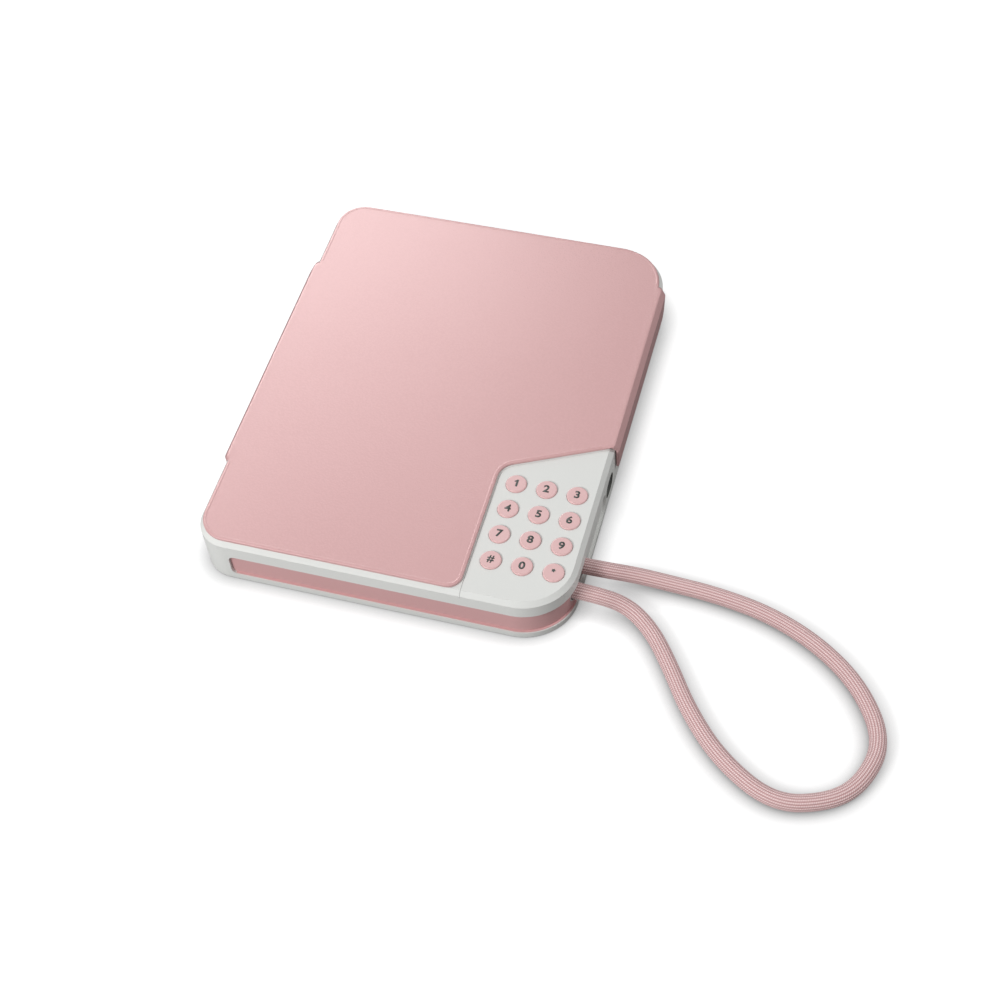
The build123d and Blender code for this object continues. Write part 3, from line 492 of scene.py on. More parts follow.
# %% Finishes: rubber, metals and the parts inside
metal = {"Metallic": 1.0}
new_finish("silicone", "grey_silicone", moulded, (1200, 40), (196, 198, 199), (212, 214, 215),
           (0.45, 0.6), 0.00001, {"Subsurface Weight": 0.2, "Subsurface Scale": 0.002})
new_finish("foot_rubber", "grey_foot_rubber", moulded, (1400, 60), (176, 177, 175), (194, 195, 193),
           (0.7, 0.85), 0.00003)
new_finish("circuit_board", "green_solder_mask", moulded, (700, 180), (18, 84, 52), (34, 116, 72),
           (0.22, 0.36), 0.00001, {"Coat Weight": 0.4, "Coat Roughness": 0.15})
new_finish("black_plastic", "black_moulding", moulded, (1500, 50), (26, 26, 27), (44, 44, 45),
           (0.4, 0.6), 0.00002)
new_finish("cell_wrap", "foil_cell_wrap", moulded, (420, 120), (176, 181, 190), (208, 212, 219),
           (0.25, 0.45), 0.00008, {"Metallic": 0.75})
new_finish("steel", "plain_steel", moulded, (2400, 200), (176, 178, 180), (206, 208, 210),
           (0.22, 0.38), 0.000006, metal)
new_finish("screw_steel", "zinc_plated_steel", moulded, (1800, 400), (184, 186, 190),
           (214, 216, 222), (0.25, 0.42), 0.000006, metal)
# The copper's dark colour falls in the grooves between turns, as painted shade.
new_finish("copper", "enamelled_copper", wound, (2600, 300), (150, 80, 44), (206, 126, 80),
           (0.2, 0.35), 0.00015, {"Metallic": 0.9, "Coat Weight": 0.5, "Coat Roughness": 0.12})
new_finish("magnet", "nickel_plating", moulded, (1600, 200), (186, 186, 184), (210, 210, 207),
           (0.12, 0.25), 0.000005, metal)
# The recess liner's dark grey is partly its own colour and partly painted shade for the recess.
new_finish("port_liner", "port_liner_plastic", moulded, (1500, 200), (84, 85, 81), (108, 109, 104),
           (0.5, 0.65), 0.00001)
# The slot crosses' dark colour is painted shade for the hollow of a slot.
new_finish("screw_slot", "shaded_screw_slot", moulded, (2500, 400), (44, 45, 47), (66, 67, 70),
           (0.5, 0.7), 0.000004, {"Metallic": 0.6})
new_finish("ink", "dark_key_print", moulded, (3000, 300), (40, 49, 45), (56, 65, 60),
           (0.45, 0.6), 0.000004)
print(len(finish), "finishes")

# %% [markdown]
# The imported record names a material slot for each piece, and the finishes above go by the same
# names. Only the liner of the charging recess differs: it is a greyer plastic than the chips, and
# its darkness also stands in for the shade deep in the recess, as painted shade.

# %% Give each solid piece its finish
node_finish = {part["node"]: part["material_slot"] for part in frame["record"]["subparts"]}
for name, piece in nodes.items():
    piece.data.materials.clear()
    piece.data.materials.append(finish["port_liner" if name == "usb_bezel" else node_finish[name]])
print("finished nodes:", len(node_finish))

# %% [markdown]
# Now the sleeve's tree runs on the loop's line. Its inputs are set by their identifiers before the
# first evaluation, and the result is kept as a plain mesh. The two ends sit in the anchor behind
# the wall, so the loop rides on the case and takes the place of the plain tube.

# %% Wrist loop in its sleeve
weave = loop_line.modifiers.new("sleeve", "NODES")
weave.node_group = sleeve


def set_inputs(modifier, **values):
    """Sets a tree's inputs by their sockets' identifiers. A space in a name is an underscore."""
    for item in modifier.node_group.interface.items_tree:
        key = item.name.replace(" ", "_")
        if item.item_type == "SOCKET" and item.in_out == "INPUT" and key in values:
            modifier[item.identifier] = values[key]


set_inputs(weave, Radius=cord_diameter / 2, Ribs=float(ribs_round), Rib_depth=0.00016,
           Finish=finish["elastic"])
wrist_loop = plain_mesh(loop_line, "wrist_loop")
bpy.data.objects.remove(loop_line)
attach(wrist_loop, "case")
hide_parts("wrist_cord")
print("wrist loop:", len(wrist_loop.data.polygons), "faces")

# %% [markdown]
# The cover is leathercloth over a stiff board. On the right its edge runs on, over the bevel and
# down the wall, as a flap that magnets hold. On the left it runs on in the same way as the spine
# strip, which is glued to the wall. Both are one thick leather section that is drawn once, as
# pairs of an outer and an inner point, and then drawn out along the diary's length. Pairs are
# handy here: the section can be made thinner at the ends by moving each pair together, which
# gives the rounded cut edge that real leather has.

# %% Section of the leather over an edge, in millimetres
wall_in, strip_low = 81.28, 9.0
top_level, inside_level, seam_x = 26.12, 25.2, 76.4
crown, shoulder, foot = (80.9, top_level), (82.95, 22.6), (82.4, strip_low)
case_sum = 104.03  # x + z all along the case's bevel
soft_radius, hard_radius = 0.9, 0.5
cut_edge_height, cut_edge_thinning = 0.4, 0.8


def arc_points(corner, before, after, radius, count):
    """Points of a round corner between two unit directions that point away from the corner."""
    half = math.acos(max(-1, min(1, before[0] * after[0] + before[1] * after[1]))) / 2
    reach, off = radius / math.tan(half), radius / math.sin(half)
    middle = np.array(before) + np.array(after)
    centre = np.array(corner) + middle / np.linalg.norm(middle) * off
    first = np.array(corner) + np.array(before) * reach - centre
    last = np.array(corner) + np.array(after) * reach - centre
    swing = math.acos(max(-1, min(1, first @ last / radius ** 2)))
    side = 1 if first[0] * last[1] - first[1] * last[0] > 0 else -1
    made = []
    for i in range(count + 1):
        a = side * swing * i / count
        made.append(tuple(centre + (first[0] * math.cos(a) - first[1] * math.sin(a),
                                    first[0] * math.sin(a) + first[1] * math.cos(a))))
    return made


def towards(first, last):
    """Unit direction from one point to another."""
    step = np.array(last) - np.array(first)
    return tuple(step / np.linalg.norm(step))


soft_bend = arc_points(crown, (-1, 0), towards(crown, shoulder), soft_radius, 8)
hard_bend = arc_points(shoulder, towards(shoulder, crown), towards(shoulder, foot), hard_radius, 6)


def drawn(first, last, count):
    """Evenly spaced points of a straight stretch, without its ends."""
    start, step = np.array(first), np.array(last) - np.array(first)
    return [tuple(start + step * i / count) for i in range(1, count)]


def paired(outer, inner_first, inner_last):
    """Pairs outer points with points spread evenly between two inner points."""
    start, step = np.array(inner_first), np.array(inner_last) - np.array(inner_first)
    return [(point, tuple(start + step * i / (len(outer) - 1))) for i, point in enumerate(outer)]


flat_start = [(76.4, 25.8), (76.6, 26.06), (76.9, 26.085), (77.3, 26.095), (78.4, 26.115)]
flat_run = flat_start + drawn(flat_start[-1], soft_bend[0], 3)
bevel_run = drawn(soft_bend[-1], hard_bend[0], 5)
section = paired(flat_run, (seam_x, inside_level), (78.6, inside_level))
section += paired(soft_bend, (78.9, inside_level), (79.75, case_sum - 79.75))
section += paired(bevel_run, (80.0, case_sum - 80.0), (80.9, case_sum - 80.9))
section += paired(hard_bend, (81.0, case_sum - 81.0), (wall_in, 22.3))


def wall_out(z):
    """X of the leather's outer face on the wall, which leans in towards its foot."""
    share = (z - foot[1]) / (shoulder[1] - foot[1])
    return foot[0] + (shoulder[0] - foot[0]) * share


even_down_to, even_steps = 14.2, 7
drop = hard_bend[-1][1] - even_down_to
levels = [hard_bend[-1][1] - drop * i / even_steps for i in range(1, even_steps + 1)]
levels += [13.7, 13.0, 12.3, 11.6, 11.0, 10.5, 10.1, 9.8, 9.6, 9.4, 9.25, 9.12, 9.04, 9.0]
for z in levels:
    thin = max(0.0, 1 - (z - strip_low) / cut_edge_height) ** 2 * cut_edge_thinning
    outer_x, middle = wall_out(z), (wall_out(z) + wall_in) / 2
    inner_x = wall_in + (middle - wall_in) * thin
    section.append(((outer_x + (middle - outer_x) * thin, z), (inner_x, z)))
print("leather section:", len(section), "pairs, from", section[0][0], "to", section[-1][0])

# %% [markdown]
# The section is repeated at places along the diary, closer together near the two cut ends, where
# the pairs also move together. Where an end lies depends on the place in the section: the flap's
# near end follows the keypad's slanted edge, and its lower corners are round.

# %% Leather strip drawn out along the diary
end_squeeze, end_step = {0: 0.75, 1: 0.22}, 0.12


def leather_strip(name, side, ends):
    """Closed leather shell: the section at many places along Y, thinner at its two cut ends."""
    shares = [0.0, 0.004, 0.012, 0.03, 0.06, 0.1] + [i / 20 for i in range(3, 18)]
    shares += [0.9, 0.94, 0.97, 0.988, 0.996, 1.0]
    last = len(shares) - 1
    points, faces = [], []
    for k, share in enumerate(shares):
        squeeze = end_squeeze.get(min(k, last - k), 0.0)
        for layer in (0, 1):
            for pair in section:
                low_y, high_y = ends(*pair[0])
                place, middle = np.array(pair[layer]), (np.array(pair[0]) + np.array(pair[1])) / 2
                x, z = place + (middle - place) * squeeze
                y = low_y + (high_y - low_y) * share
                if k < 2:
                    y = low_y + end_step * k
                elif k > last - 2:
                    y = high_y - end_step * (last - k)
                points.append((side * x / 1000, y / 1000, z / 1000))
    count = len(section)

    def at(k, layer, i):
        return k * 2 * count + layer * count + i

    for k in range(last):
        for i in range(count - 1):
            faces.append((at(k, 0, i), at(k, 0, i + 1), at(k + 1, 0, i + 1), at(k + 1, 0, i)))
            faces.append((at(k, 1, i + 1), at(k, 1, i), at(k + 1, 1, i), at(k + 1, 1, i + 1)))
        for i in (0, count - 1):
            faces.append((at(k, 0, i), at(k + 1, 0, i), at(k + 1, 1, i), at(k, 1, i)))
    for i in range(count - 1):
        faces.append((at(0, 0, i + 1), at(0, 0, i), at(0, 1, i), at(0, 1, i + 1)))
        faces.append((at(last, 0, i), at(last, 0, i + 1), at(last, 1, i + 1), at(last, 1, i)))
    mesh = bpy.data.meshes.new(name)
    mesh.from_pydata(points, [], faces)
    shell = bmesh.new()
    shell.from_mesh(mesh)
    bmesh.ops.recalc_face_normals(shell, faces=shell.faces)
    shell.to_mesh(mesh)
    shell.free()
    mesh.shade_smooth()
    mesh.materials.append(finish["leathercloth"])
    return placed(name, mesh)


def corner_cut(z, radius):
    """How far a rounded lower corner moves the strip's end in at a level."""
    rise = z - strip_low
    if rise >= radius:
        return 0.0
    return radius - math.sqrt(max(0.0, radius ** 2 - (radius - rise) ** 2))


crease_x, cover_corner_y, keypad_slope = 79.3, -16.29, math.tan(math.radians(25.1))
flap_set_back, set_back_over, flap_lean, flap_far, flap_far_slope = 0.5, 1.3, 0.13, 80.0, 0.3
spine_half, spine_flare, flare_over = 57.0, 3.5, 3.2
flap_near_round, flap_far_round, spine_round = 1.2, 5.0, 1.5


def flap_ends(x, z):
    """Near and far end of the flap where its outer face is at x and z."""
    past = x - crease_x
    set_back = flap_set_back * min(1.0, max(0.0, -past / set_back_over))
    near = cover_corner_y + past * keypad_slope + set_back + flap_lean * max(0.0, shoulder[1] - z)
    far = flap_far - flap_far_slope * max(0.0, past)
    return near + corner_cut(z, flap_near_round), far - corner_cut(z, flap_far_round)


def spine_ends(x, z):
    """Near and far end of the spine strip, which flares towards the cover."""
    flare = spine_flare * min(1.0, max(0.0, (shoulder[0] - x) / flare_over))
    half = spine_half + flare - corner_cut(z, spine_round)
    return -half, half


bend_in, bend_out, bend_level = 0.0784, 0.0804, 0.0262
flap = leather_strip("flap_leather", 1, flap_ends)
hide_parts("closure_flap")
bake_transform(flap)
spine = leather_strip("spine_leather", -1, spine_ends)
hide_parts("spine_strip")
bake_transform(spine)
print("flap and spine:", len(flap.data.polygons), "faces each")

# %% [markdown]
# Each key has a dark legend that is printed on its top. Blender's own typeface has no bold cut,
# so the outlines are made fatter with the text's offset, and wider by scaling the finished mesh.
# A legend is text only while it is being made: it becomes a thin mesh that lies on its key, and
# rides on that key's body, so that it goes down when the key is pressed.

# %% Key legends
legends = {"key_" + digit: digit for digit in "1234567890"}
legends.update(key_hash="#", key_star="*")
legend_height = 0.0036
print_thickness, print_gap = 0.00003, 0.000002
sign_shift, star_shift = Vector((-0.0001, 0.0002, 0)), Vector((-0.0001, 0.0008, 0))
sign_height, bold, bold_open = 0.73, 0.034, 0.026
one_outline = [(0.17, 0), (0.36, 0), (0.36, 0.73), (0.20, 0.73), (0.13, 0.63), (0.02, 0.58),
               (0.02, 0.45), (0.17, 0.50)]
star_points = [(0.20 * reach * math.cos(i * math.pi / 5), 0.20 * reach * math.sin(i * math.pi / 5))
               for i, reach in enumerate([1.0, 0.62] * 5)]
drawn_signs = {"1": one_outline, "*": star_points}
widths = {"1": 1.0, "*": 1.0, "#": 0.95}


def flat_sign(sign):
    """A sign as a flat mesh: drawn point by point, or taken from the typeface and made bolder."""
    if sign in drawn_signs:
        mesh = bpy.data.meshes.new("sign")
        outline = [(x, y, 0) for x, y in drawn_signs[sign]]
        mesh.from_pydata(outline, [], [tuple(range(len(outline)))])
        return placed("sign", mesh)
    text = bpy.data.curves.new("sign", "FONT")
    text.body = sign
    text.resolution_u = 6
    text.offset = bold_open if sign in "4#" else bold
    written = placed("sign", text)
    piece = plain_mesh(written, "sign")
    bpy.data.objects.remove(written)
    return piece


def fix_order(shell):
    """Orders a mesh by place, because an extrusion leaves it in another order at each run."""
    for items in (shell.verts, shell.edges, shell.faces):
        spots = {item: sorted(v.co[:] for v in getattr(item, "verts", [item])) for item in items}
        rank = {item: i for i, item in enumerate(sorted(items, key=spots.get))}
        items.sort(key=rank.get)


def key_legend(key, sign):
    """Thin printed sign, centred on a key's top."""
    low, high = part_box(key)
    piece = flat_sign(sign)
    piece.name = "legend_" + key
    spots = np.array([v.co for v in piece.data.vertices])
    size = legend_height / sign_height
    centre = (spots.max(0) + spots.min(0)) / 2
    middle = (low + high) / 2 + (star_shift if sign == "*" else sign_shift)
    place = Matrix.Translation((middle.x, middle.y, high.z + print_gap))
    place = place @ Matrix.Diagonal((size * widths.get(sign, 1.08), size, 1, 1))
    place = place @ Matrix.Translation(-Vector(centre))
    piece.data.transform(place)
    shell = bmesh.new()
    shell.from_mesh(piece.data)
    lifted = bmesh.ops.extrude_face_region(shell, geom=shell.faces[:])
    tops = [g for g in lifted["geom"] if isinstance(g, bmesh.types.BMVert)]
    bmesh.ops.translate(shell, verts=tops, vec=(0, 0, print_thickness))
    bmesh.ops.recalc_face_normals(shell, faces=shell.faces)
    fix_order(shell)
    shell.to_mesh(piece.data)
    shell.free()
    piece.data.materials.clear()
    piece.data.materials.append(finish["ink"])
    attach(piece, key + "_body")
    return piece


for key, sign in legends.items():
    key_legend(key, sign)
print(len(legends), "legends,", round(1000 * legend_height, 1), "mm high")

# %% [markdown]
# Leathercloth is folded round the board and glued, so that it lies double along the cover's free
# edges and shows a low bead there. A bevel of the cover could only take material away, so the bead
# is a strip of its own: Geometry Nodes sweep a flat oval along the outline. The outline is read
# from the rim of the cover's own top face, so that the bead can't leave it, and the stretches that
# the flap and the spine strip cover are left out.

# %% Outline of the cover's free edges
bead_half_width, bead_height, bead_inset, bead_step = 0.00045, 0.00009, 0.0005, 0.0015
weld, level_slack = 1e-7, 2e-6
near_edge, flap_from, flap_to, spine_to = 0.0760, -0.0178, 0.0806, 0.0606


def flat_rim(node, level):
    """Points in order round the flat face that a solid piece has at a level."""
    copy = bmesh.new()
    copy.from_mesh(nodes[node].data)
    bmesh.ops.remove_doubles(copy, verts=copy.verts[:], dist=weld)
    flat = {f for f in copy.faces if all(abs(v.co.z - level) < level_slack for v in f.verts)}
    next_to = {}
    for edge in copy.edges:
        if sum(f in flat for f in edge.link_faces) == 1:
            one, other = edge.verts
            next_to.setdefault(one, []).append(other)
            next_to.setdefault(other, []).append(one)
    start = next(iter(next_to))
    round_it, before, here = [start], None, start
    while True:
        step = [v for v in next_to[here] if v is not before][0]
        if step is start:
            break
        round_it.append(step)
        before, here = here, step
    points = [v.co.copy() for v in round_it]
    copy.free()
    return points


def set_in(points, distance):
    """Closed line cut into short steps and moved inwards by a distance."""
    fine_points = []
    for first, last in zip(points, points[1:] + points[:1]):
        count = max(1, math.ceil((last - first).length / bead_step))
        fine_points += [first.lerp(last, i / count) for i in range(count)]
    around = zip(fine_points, fine_points[1:] + fine_points[:1])
    turning = sum(a.x * b.y - b.x * a.y for a, b in around)
    moved = []
    for i, point in enumerate(fine_points):
        along_it = fine_points[(i + 1) % len(fine_points)] - fine_points[i - 1]
        inward = Vector((-along_it.y, along_it.x, 0)).normalized()
        moved.append(point + inward * math.copysign(distance, turning))
    return moved


def is_free(point):
    """True where neither the flap nor the spine strip lies on the cover's edge."""
    by_flap = point.x > near_edge and flap_from < point.y < flap_to
    by_spine = point.x < -near_edge and abs(point.y) < spine_to
    return not (by_flap or by_spine)


rim = set_in(flat_rim("cover_skin", cad_high[2]), bead_inset)
begin = next(i for i in range(len(rim)) if is_free(rim[i]) and not is_free(rim[i - 1]))
rim = rim[begin:] + rim[:begin]
rim_curve = bpy.data.curves.new("free_edges", "CURVE")
rim_curve.dimensions = "3D"
run = []
for point in rim + [Vector((bend_in, 0, 0))]:
    if is_free(point):
        run.append(point)
    elif run:
        spline = rim_curve.splines.new("POLY")
        spline.points.add(len(run) - 1)
        for spot, place in zip(spline.points, run):
            spot.co = (*place, 1)
        run = []
print("free edges:", [len(item.points) for item in rim_curve.splines], "points")

# %% [markdown]
# The bead's tree turns a circle into a flat oval and sweeps it. The line's own upright is fixed to
# Z first, or the oval would roll over where the outline turns. What the tree makes is kept as a
# plain piece by a helper, which the notebook and the screws below use too.

# %% Bead along the free edges
bead = new_tree("hem_bead", Half_width="Float", Height="Float")
entry = bead.nodes["in"]
upright_line = add(bead, "GeometryNodeSetCurveNormal", mode="Z_UP")
oval = add(bead, "GeometryNodeCurvePrimitiveCircle", {"Resolution": 14, "Radius": 1.0})
oval_size = add(bead, "ShaderNodeCombineXYZ", {"Z": 1.0})
flatten = add(bead, "GeometryNodeTransform")
swept = add(bead, "GeometryNodeCurveToMesh", {"Fill Caps": True})
smooth = add(bead, "GeometryNodeSetShadeSmooth")
wire(bead, ((entry, "Geometry"), (upright_line, "Curve")),
     ((entry, "Half width"), (oval_size, "X")), ((entry, "Height"), (oval_size, "Y")),
     (oval, (flatten, "Geometry")), (oval_size, (flatten, "Scale")), (upright_line, swept),
     (flatten, (swept, 1)), (swept, smooth))
end_tree(bead, smooth)


def grown(host, tree, name, body, slot, **values):
    """Runs a Geometry Nodes tree on an object and keeps the result as a plain piece on a body."""
    layer = host.modifiers.new("tree", "NODES")
    layer.node_group = tree
    set_inputs(layer, **values)
    piece = plain_mesh(host, name)
    bpy.data.objects.remove(host)
    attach(piece, body)
    return piece


hem = grown(placed("free_edges", rim_curve), bead, "cover_hem", "cover", "leathercloth",
            Half_width=bead_half_width, Height=bead_height, Finish=finish["leathercloth"])
print("hem:", len(hem.data.polygons), "faces")

# %% [markdown]
# The notebook's block is some dozens of leaves, and no stack of paper is quite flush. One box would
# look like a brick, so Geometry Nodes put a thin leaf on each point of an upright line and shift
# each a little sideways. The seed is fixed, so that the stack comes out the same each time.

# %% Leaves of the notebook
leaves = new_tree("leaf_stack", Leaves="Int", Leaf_size="Vector", Bottom="Vector", Pitch="Float",
                  Shift="Float", Seed="Int")
entry = leaves.nodes["in"]
upward = add(leaves, "ShaderNodeCombineXYZ")
pile = add(leaves, "GeometryNodeMeshLine")
leaf = add(leaves, "GeometryNodeMeshCube")
less = sum_up(leaves, "MULTIPLY", (entry, "Shift"), -1.0)
low_shift, high_shift = add(leaves, "ShaderNodeCombineXYZ"), add(leaves, "ShaderNodeCombineXYZ")
chance = add(leaves, "FunctionNodeRandomValue", data_type="FLOAT_VECTOR")
nudge = add(leaves, "GeometryNodeSetPosition")
copies = add(leaves, "GeometryNodeInstanceOnPoints")
wire(leaves, ((entry, "Pitch"), (upward, "Z")), ((entry, "Leaves"), (pile, "Count")),
     ((entry, "Bottom"), (pile, "Start Location")), (upward, (pile, "Offset")),
     ((entry, "Leaf size"), (leaf, "Size")), (less, (low_shift, "X")), (less, (low_shift, "Y")),
     ((entry, "Shift"), (high_shift, "X")), ((entry, "Shift"), (high_shift, "Y")),
     (low_shift, chance), (high_shift, (chance, 1)), ((entry, "Seed"), (chance, "Seed")),
     (pile, nudge), (chance, (nudge, "Offset")), (nudge, (copies, "Points")),
     (leaf, (copies, "Instance")))
end_tree(leaves, copies)

block_low, block_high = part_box("notebook_pages")
leaf_count, leaf_share, shift = 44, 0.9, 0.00012
pitch = (block_high.z - block_low.z) / leaf_count
room, middle = block_high - block_low, (block_low + block_high) / 2
leaf_size = (room.x - 2 * shift, room.y - 2 * shift, pitch * leaf_share)
first_leaf = (middle.x, middle.y, block_low.z + pitch / 2)
book_block = grown(placed("leaves", bpy.data.meshes.new("leaves")), leaves, "notebook_leaves",
                   "case", "paper", Leaves=leaf_count, Leaf_size=leaf_size, Bottom=first_leaf,
                   Pitch=pitch, Shift=shift, Seed=3, Finish=finish["paper"])
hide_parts("notebook_pages")
print("notebook:", leaf_count, "leaves,", round(1000 * pitch, 2), "mm apart")

# %% [markdown]
# Two soft pieces give way when something moves. The return spring is pressed together as the bolt
# goes out, and each silicone dome gives way under its key. If they kept their shape, the bolt and
# the keys would cut through them. So the spring and each dome are pieces of their own, each with its
# own copy of its mesh. The domes are cut off the mat just above its sheet, and the cuts are closed.

# %% Return spring and domes as pieces of their own


def yielding(name, mesh, node, joint=None):
    """Piece on the case that takes a solid piece's place, with its own copy of the mesh if a joint
    is named.
    """
    piece = placed(name, mesh)
    mesh.materials.clear()
    mesh.materials.append(finish[node_finish[node]])
    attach(piece, "case")
    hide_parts(node)
    if joint:
        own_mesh(piece)
    return piece


def cut_level(mesh, level, keep_upper):
    """Welded copy of a mesh above or below a level, closed at the cut."""
    part = bmesh.new()
    part.from_mesh(mesh)
    bmesh.ops.remove_doubles(part, verts=part.verts[:], dist=weld)
    everything = part.verts[:] + part.edges[:] + part.faces[:]
    made = bmesh.ops.bisect_plane(part, geom=everything, plane_co=(0, 0, level), plane_no=(0, 0, 1),
                                  clear_inner=keep_upper, clear_outer=not keep_upper)
    rim_edges = [item for item in made["geom_cut"] if isinstance(item, bmesh.types.BMEdge)]
    bmesh.ops.triangle_fill(part, edges=rim_edges, use_beauty=True)
    bmesh.ops.recalc_face_normals(part, faces=part.faces[:])
    return part


yielding("return_spring", nodes["bolt_spring"].data.copy(), "bolt_spring", "bolt_slide")

dome_height, dome_give, dome_reach = 0.00109, 0.00057, 0.005
dome_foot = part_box("key_mat")[1].z - dome_height
sheet_part = cut_level(nodes["key_mat"].data, dome_foot, False)
sheet_mesh = bpy.data.meshes.new("mat_sheet")
sheet_part.to_mesh(sheet_mesh)
sheet_part.free()
yielding("mat_sheet", sheet_mesh, "key_mat")
for key in legends:
    low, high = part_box(key)
    middle = (low + high) / 2
    dome = cut_level(nodes["key_mat"].data, dome_foot, True)
    away = [v for v in dome.verts if math.hypot(v.co.x - middle.x, v.co.y - middle.y) > dome_reach]
    bmesh.ops.delete(dome, geom=away, context="VERTS")
    dome_mesh = bpy.data.meshes.new("dome_" + key)
    dome.to_mesh(dome_mesh)
    dome.free()
    yielding("dome_" + key, dome_mesh, "key_mat", key + "_press")

# %% [markdown]
# Every screw has a cross slot in its head. The screws are turned parts with flat heads, and the
# slot is what the eye looks for, so a dark cross lies on each head: its darkness is painted shade,
# for a hollow that the flat heads don't have. Geometry Nodes repeat one small cross on the middles
# of the heads, which are found as the round flat faces of the screws.

# %% Cross slots of the screws
slots = new_tree("cross_slots", Arm="Vector", Bar="Vector")
entry = slots.nodes["in"]
arm, bar = add(slots, "GeometryNodeMeshCube"), add(slots, "GeometryNodeMeshCube")
cross = add(slots, "GeometryNodeJoinGeometry")
copies = add(slots, "GeometryNodeInstanceOnPoints")
wire(slots, ((entry, "Arm"), (arm, "Size")), ((entry, "Bar"), (bar, "Size")), (arm, cross),
     (bar, cross), ((entry, "Geometry"), (copies, "Points")), (cross, (copies, "Instance")))
end_tree(slots, copies)
slot_length, slot_width, head_at_least, head_points_at_most = 0.0018, 0.0004, 0.0026, 60


def head_middles(node):
    """Middles of the round flat faces of a node's screws, which are islands of triangles."""
    mesh = nodes[node].data
    parent = list(range(len(mesh.vertices)))

    def root(i):
        while parent[i] != i:
            parent[i] = parent[parent[i]]
            i = parent[i]
        return i

    for edge in mesh.edges:
        parent[root(edge.vertices[0])] = root(edge.vertices[1])
    islands = {}
    for vertex in mesh.vertices:
        islands.setdefault(root(vertex.index), []).append(vertex.co)
    middles = []
    for spots in islands.values():
        low = Vector(min(s[i] for s in spots) for i in range(3))
        high = Vector(max(s[i] for s in spots) for i in range(3))
        is_round = high.x - low.x > head_at_least and len(spots) < head_points_at_most
        if is_round and high.z - low.z < 1e-6:
            middles.append((low + high) / 2)
    return middles


for node in ("case_screws", "board_screws", "anchor_screws", "strike_screws"):
    middles = head_middles(node)
    dots = bpy.data.meshes.new(node + "_heads")
    dots.from_pydata([tuple(v) for v in middles], [], [])
    body = "cover" if node == "strike_screws" else "case"
    grown(placed("heads", dots), slots, node + "_slots", body, "screw_steel",
          Arm=(slot_length, slot_width, 0.00006), Bar=(slot_width, slot_length, 0.00005),
          Finish=finish["screw_slot"])
    print(node, "heads:", len(middles))

# %% [markdown]
# The diary lies on a plain pale table. A table that is lit by the same lamps as the diary comes out
# grey, so it glows for the rays that reach the camera, and only for those, and is darker in mirrors:
# that makes a white background, and puts no more light on the diary. The soft dark line where a
# thing touches the table is painted shadow: an Ambient Occlusion node measures the corner that light
# can't reach, here up to 10 mm away, and both the table's glow and its colour are taken back by it.
# Seen from below, the table is clear, so that it doesn't hide the diary's underside.

# %% Table
table_reach, painted_shadow_depth, open_least, camera_glow = 0.010, 0.95, 0.02, 0.84
table_grey, mirrored_grey = 0.40, 0.12
table_mesh = bpy.data.meshes.new("table")
table_mesh.from_pydata([(-3, -3, 0), (3, -3, 0), (3, 3, 0), (-3, 3, 0)], [], [(0, 1, 2, 3)])
table = placed("table", table_mesh)
pale = bpy.data.materials.new("pale_table")
pale.use_nodes = True
tree = pale.node_tree
tree.nodes.clear()
out = add(tree, "ShaderNodeOutputMaterial")
# Painted shadow: the occlusion below darkens the table's glow and colour near the diary.
corner = add(tree, "ShaderNodeAmbientOcclusion", {"Distance": table_reach}, samples=12)
hidden = sum_up(tree, "SUBTRACT", 1.0, (corner, "AO"))
steep = sum_up(tree, "POWER", hidden, 0.9)
taken = sum_up(tree, "MULTIPLY", steep, painted_shadow_depth)
left_over = sum_up(tree, "SUBTRACT", 1.0, taken)
open_share = sum_up(tree, "MAXIMUM", left_over, open_least)
ray = add(tree, "ShaderNodeLightPath")
mirror = sum_up(tree, "MAXIMUM", (ray, "Is Glossy Ray"), (ray, "Is Transmission Ray"))
shown = sum_up(tree, "MULTIPLY", (ray, "Is Camera Ray"), camera_glow)
strength = sum_up(tree, "MULTIPLY", shown, open_share)
bounced = spread(tree, mirror, 0.0, 1.0, table_grey, mirrored_grey)
grey = sum_up(tree, "MULTIPLY", open_share, bounced)
matt = add(tree, "ShaderNodeBsdfDiffuse")
glow = add(tree, "ShaderNodeEmission")
both = add(tree, "ShaderNodeAddShader")
clear = add(tree, "ShaderNodeBsdfTransparent")
side = add(tree, "ShaderNodeNewGeometry")
one_sided = add(tree, "ShaderNodeMixShader")
wire(tree, (grey, (matt, "Color")), (strength, (glow, "Strength")), (matt, both),
     (glow, (both, 1)), ((side, "Backfacing"), one_sided), (both, (one_sided, 1)),
     (clear, (one_sided, 2)), (one_sided, out))
table_mesh.materials.append(pale)
table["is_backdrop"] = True
print("table: a corner is felt within", round(1000 * table_reach), "mm")

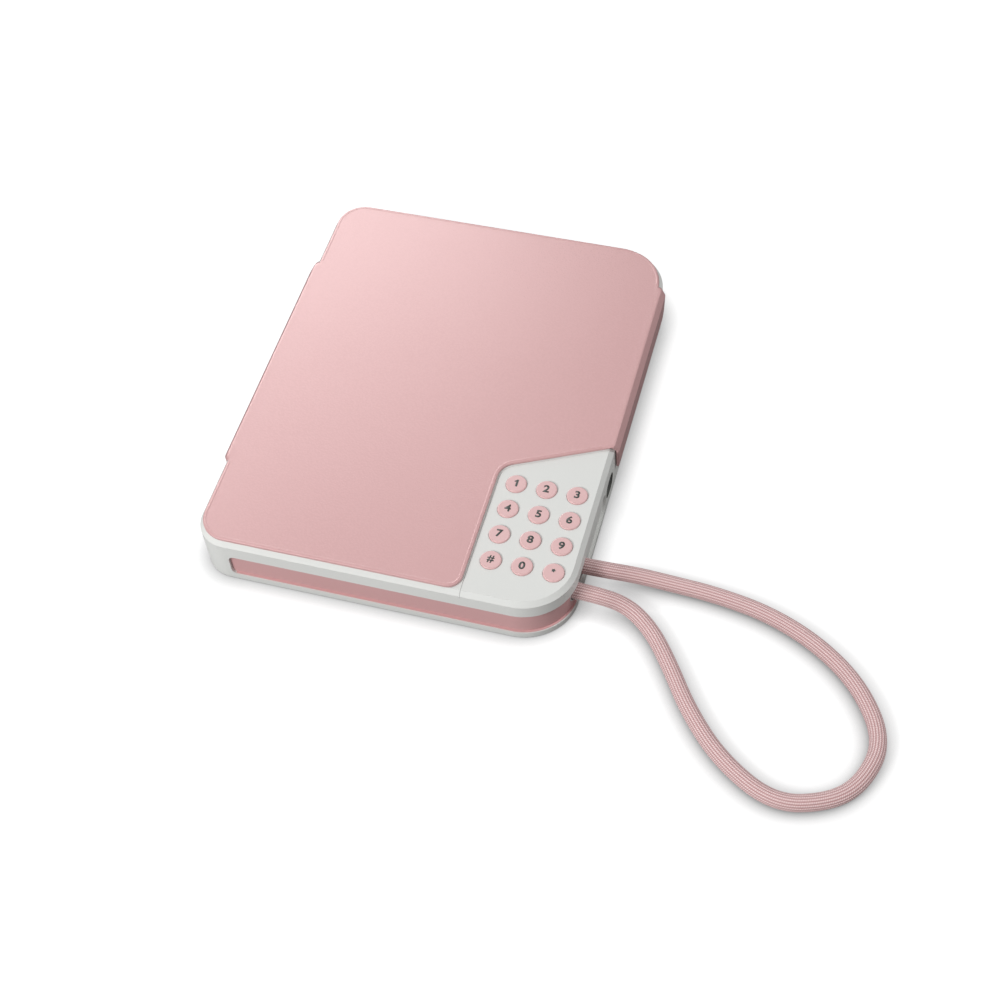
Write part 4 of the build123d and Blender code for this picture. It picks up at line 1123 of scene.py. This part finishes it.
# %% [markdown]
# A studio lights a pale product with large soft boxes. A box in front on the left gives the main
# light, so that edges which face the front are a little brighter than the top. A weaker one far on
# the right keeps the bevel there from going grey. The third stands behind on the left, and only its
# reflection counts: it is the sheen on the cover's far left. The rest is an even room light, which
# fills the shaded right side. The room is white where the camera looks past the table.

# %% World and lamps
room_light, mirrored_room = 0.336, 0.35
world = bpy.data.worlds.new("studio")
world.use_nodes = True
bpy.context.scene.world = world
tree = world.node_tree
tree.nodes.clear()
out = add(tree, "ShaderNodeOutputWorld")
sky = add(tree, "ShaderNodeBackground", {"Color": (1, 1, 1, 1)})
ray = add(tree, "ShaderNodeLightPath")
mirror = sum_up(tree, "MAXIMUM", (ray, "Is Glossy Ray"), (ray, "Is Transmission Ray"))
dimmed = sum_up(tree, "MULTIPLY", mirror, mirrored_room)
shown = sum_up(tree, "MAXIMUM", (ray, "Is Camera Ray"), dimmed)
power = spread(tree, shown, 0.0, 1.0, room_light, 1.0)
wire(tree, (power, (sky, "Strength")), (sky, out))


def lamp(name, place, target, size, watts):
    """Square soft light that looks at a point."""
    light = bpy.data.lights.new(name, "AREA")
    light.shape = "SQUARE"
    light.size = size
    light.energy = watts
    box = placed(name, light)
    box.location = place
    box.rotation_euler = (Vector(target) - Vector(place)).to_track_quat("-Z", "Y").to_euler()
    return box


lamp("front_box", (-0.66, -1.02, 0.88), (0, 0, 0), 0.5, 15.3)
lamp("right_box", (0.955, 0.64, 1.115), (0, 0, 0), 0.8, 7.2)
sheen_box = lamp("sheen_box", (-1.0, 1.25, 0.99), (0, 0, 0), 1.25, 42.0)
sheen_box.visible_diffuse = False

# %% [markdown]
# The size of the dressed diary is written beside the size of its solids, so that both can be
# compared. Standard view keeps colours as they were written: the default would grey the whites.

# %% Write the size and finish
bpy.context.scene.view_settings.view_transform = "Standard"
low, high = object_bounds()
print("visual box grows by, mm:", [round(1000 * (a - b), 2) for a, b in zip(cad_low, low)],
      [round(1000 * (b - a), 2) for a, b in zip(cad_high, high)])
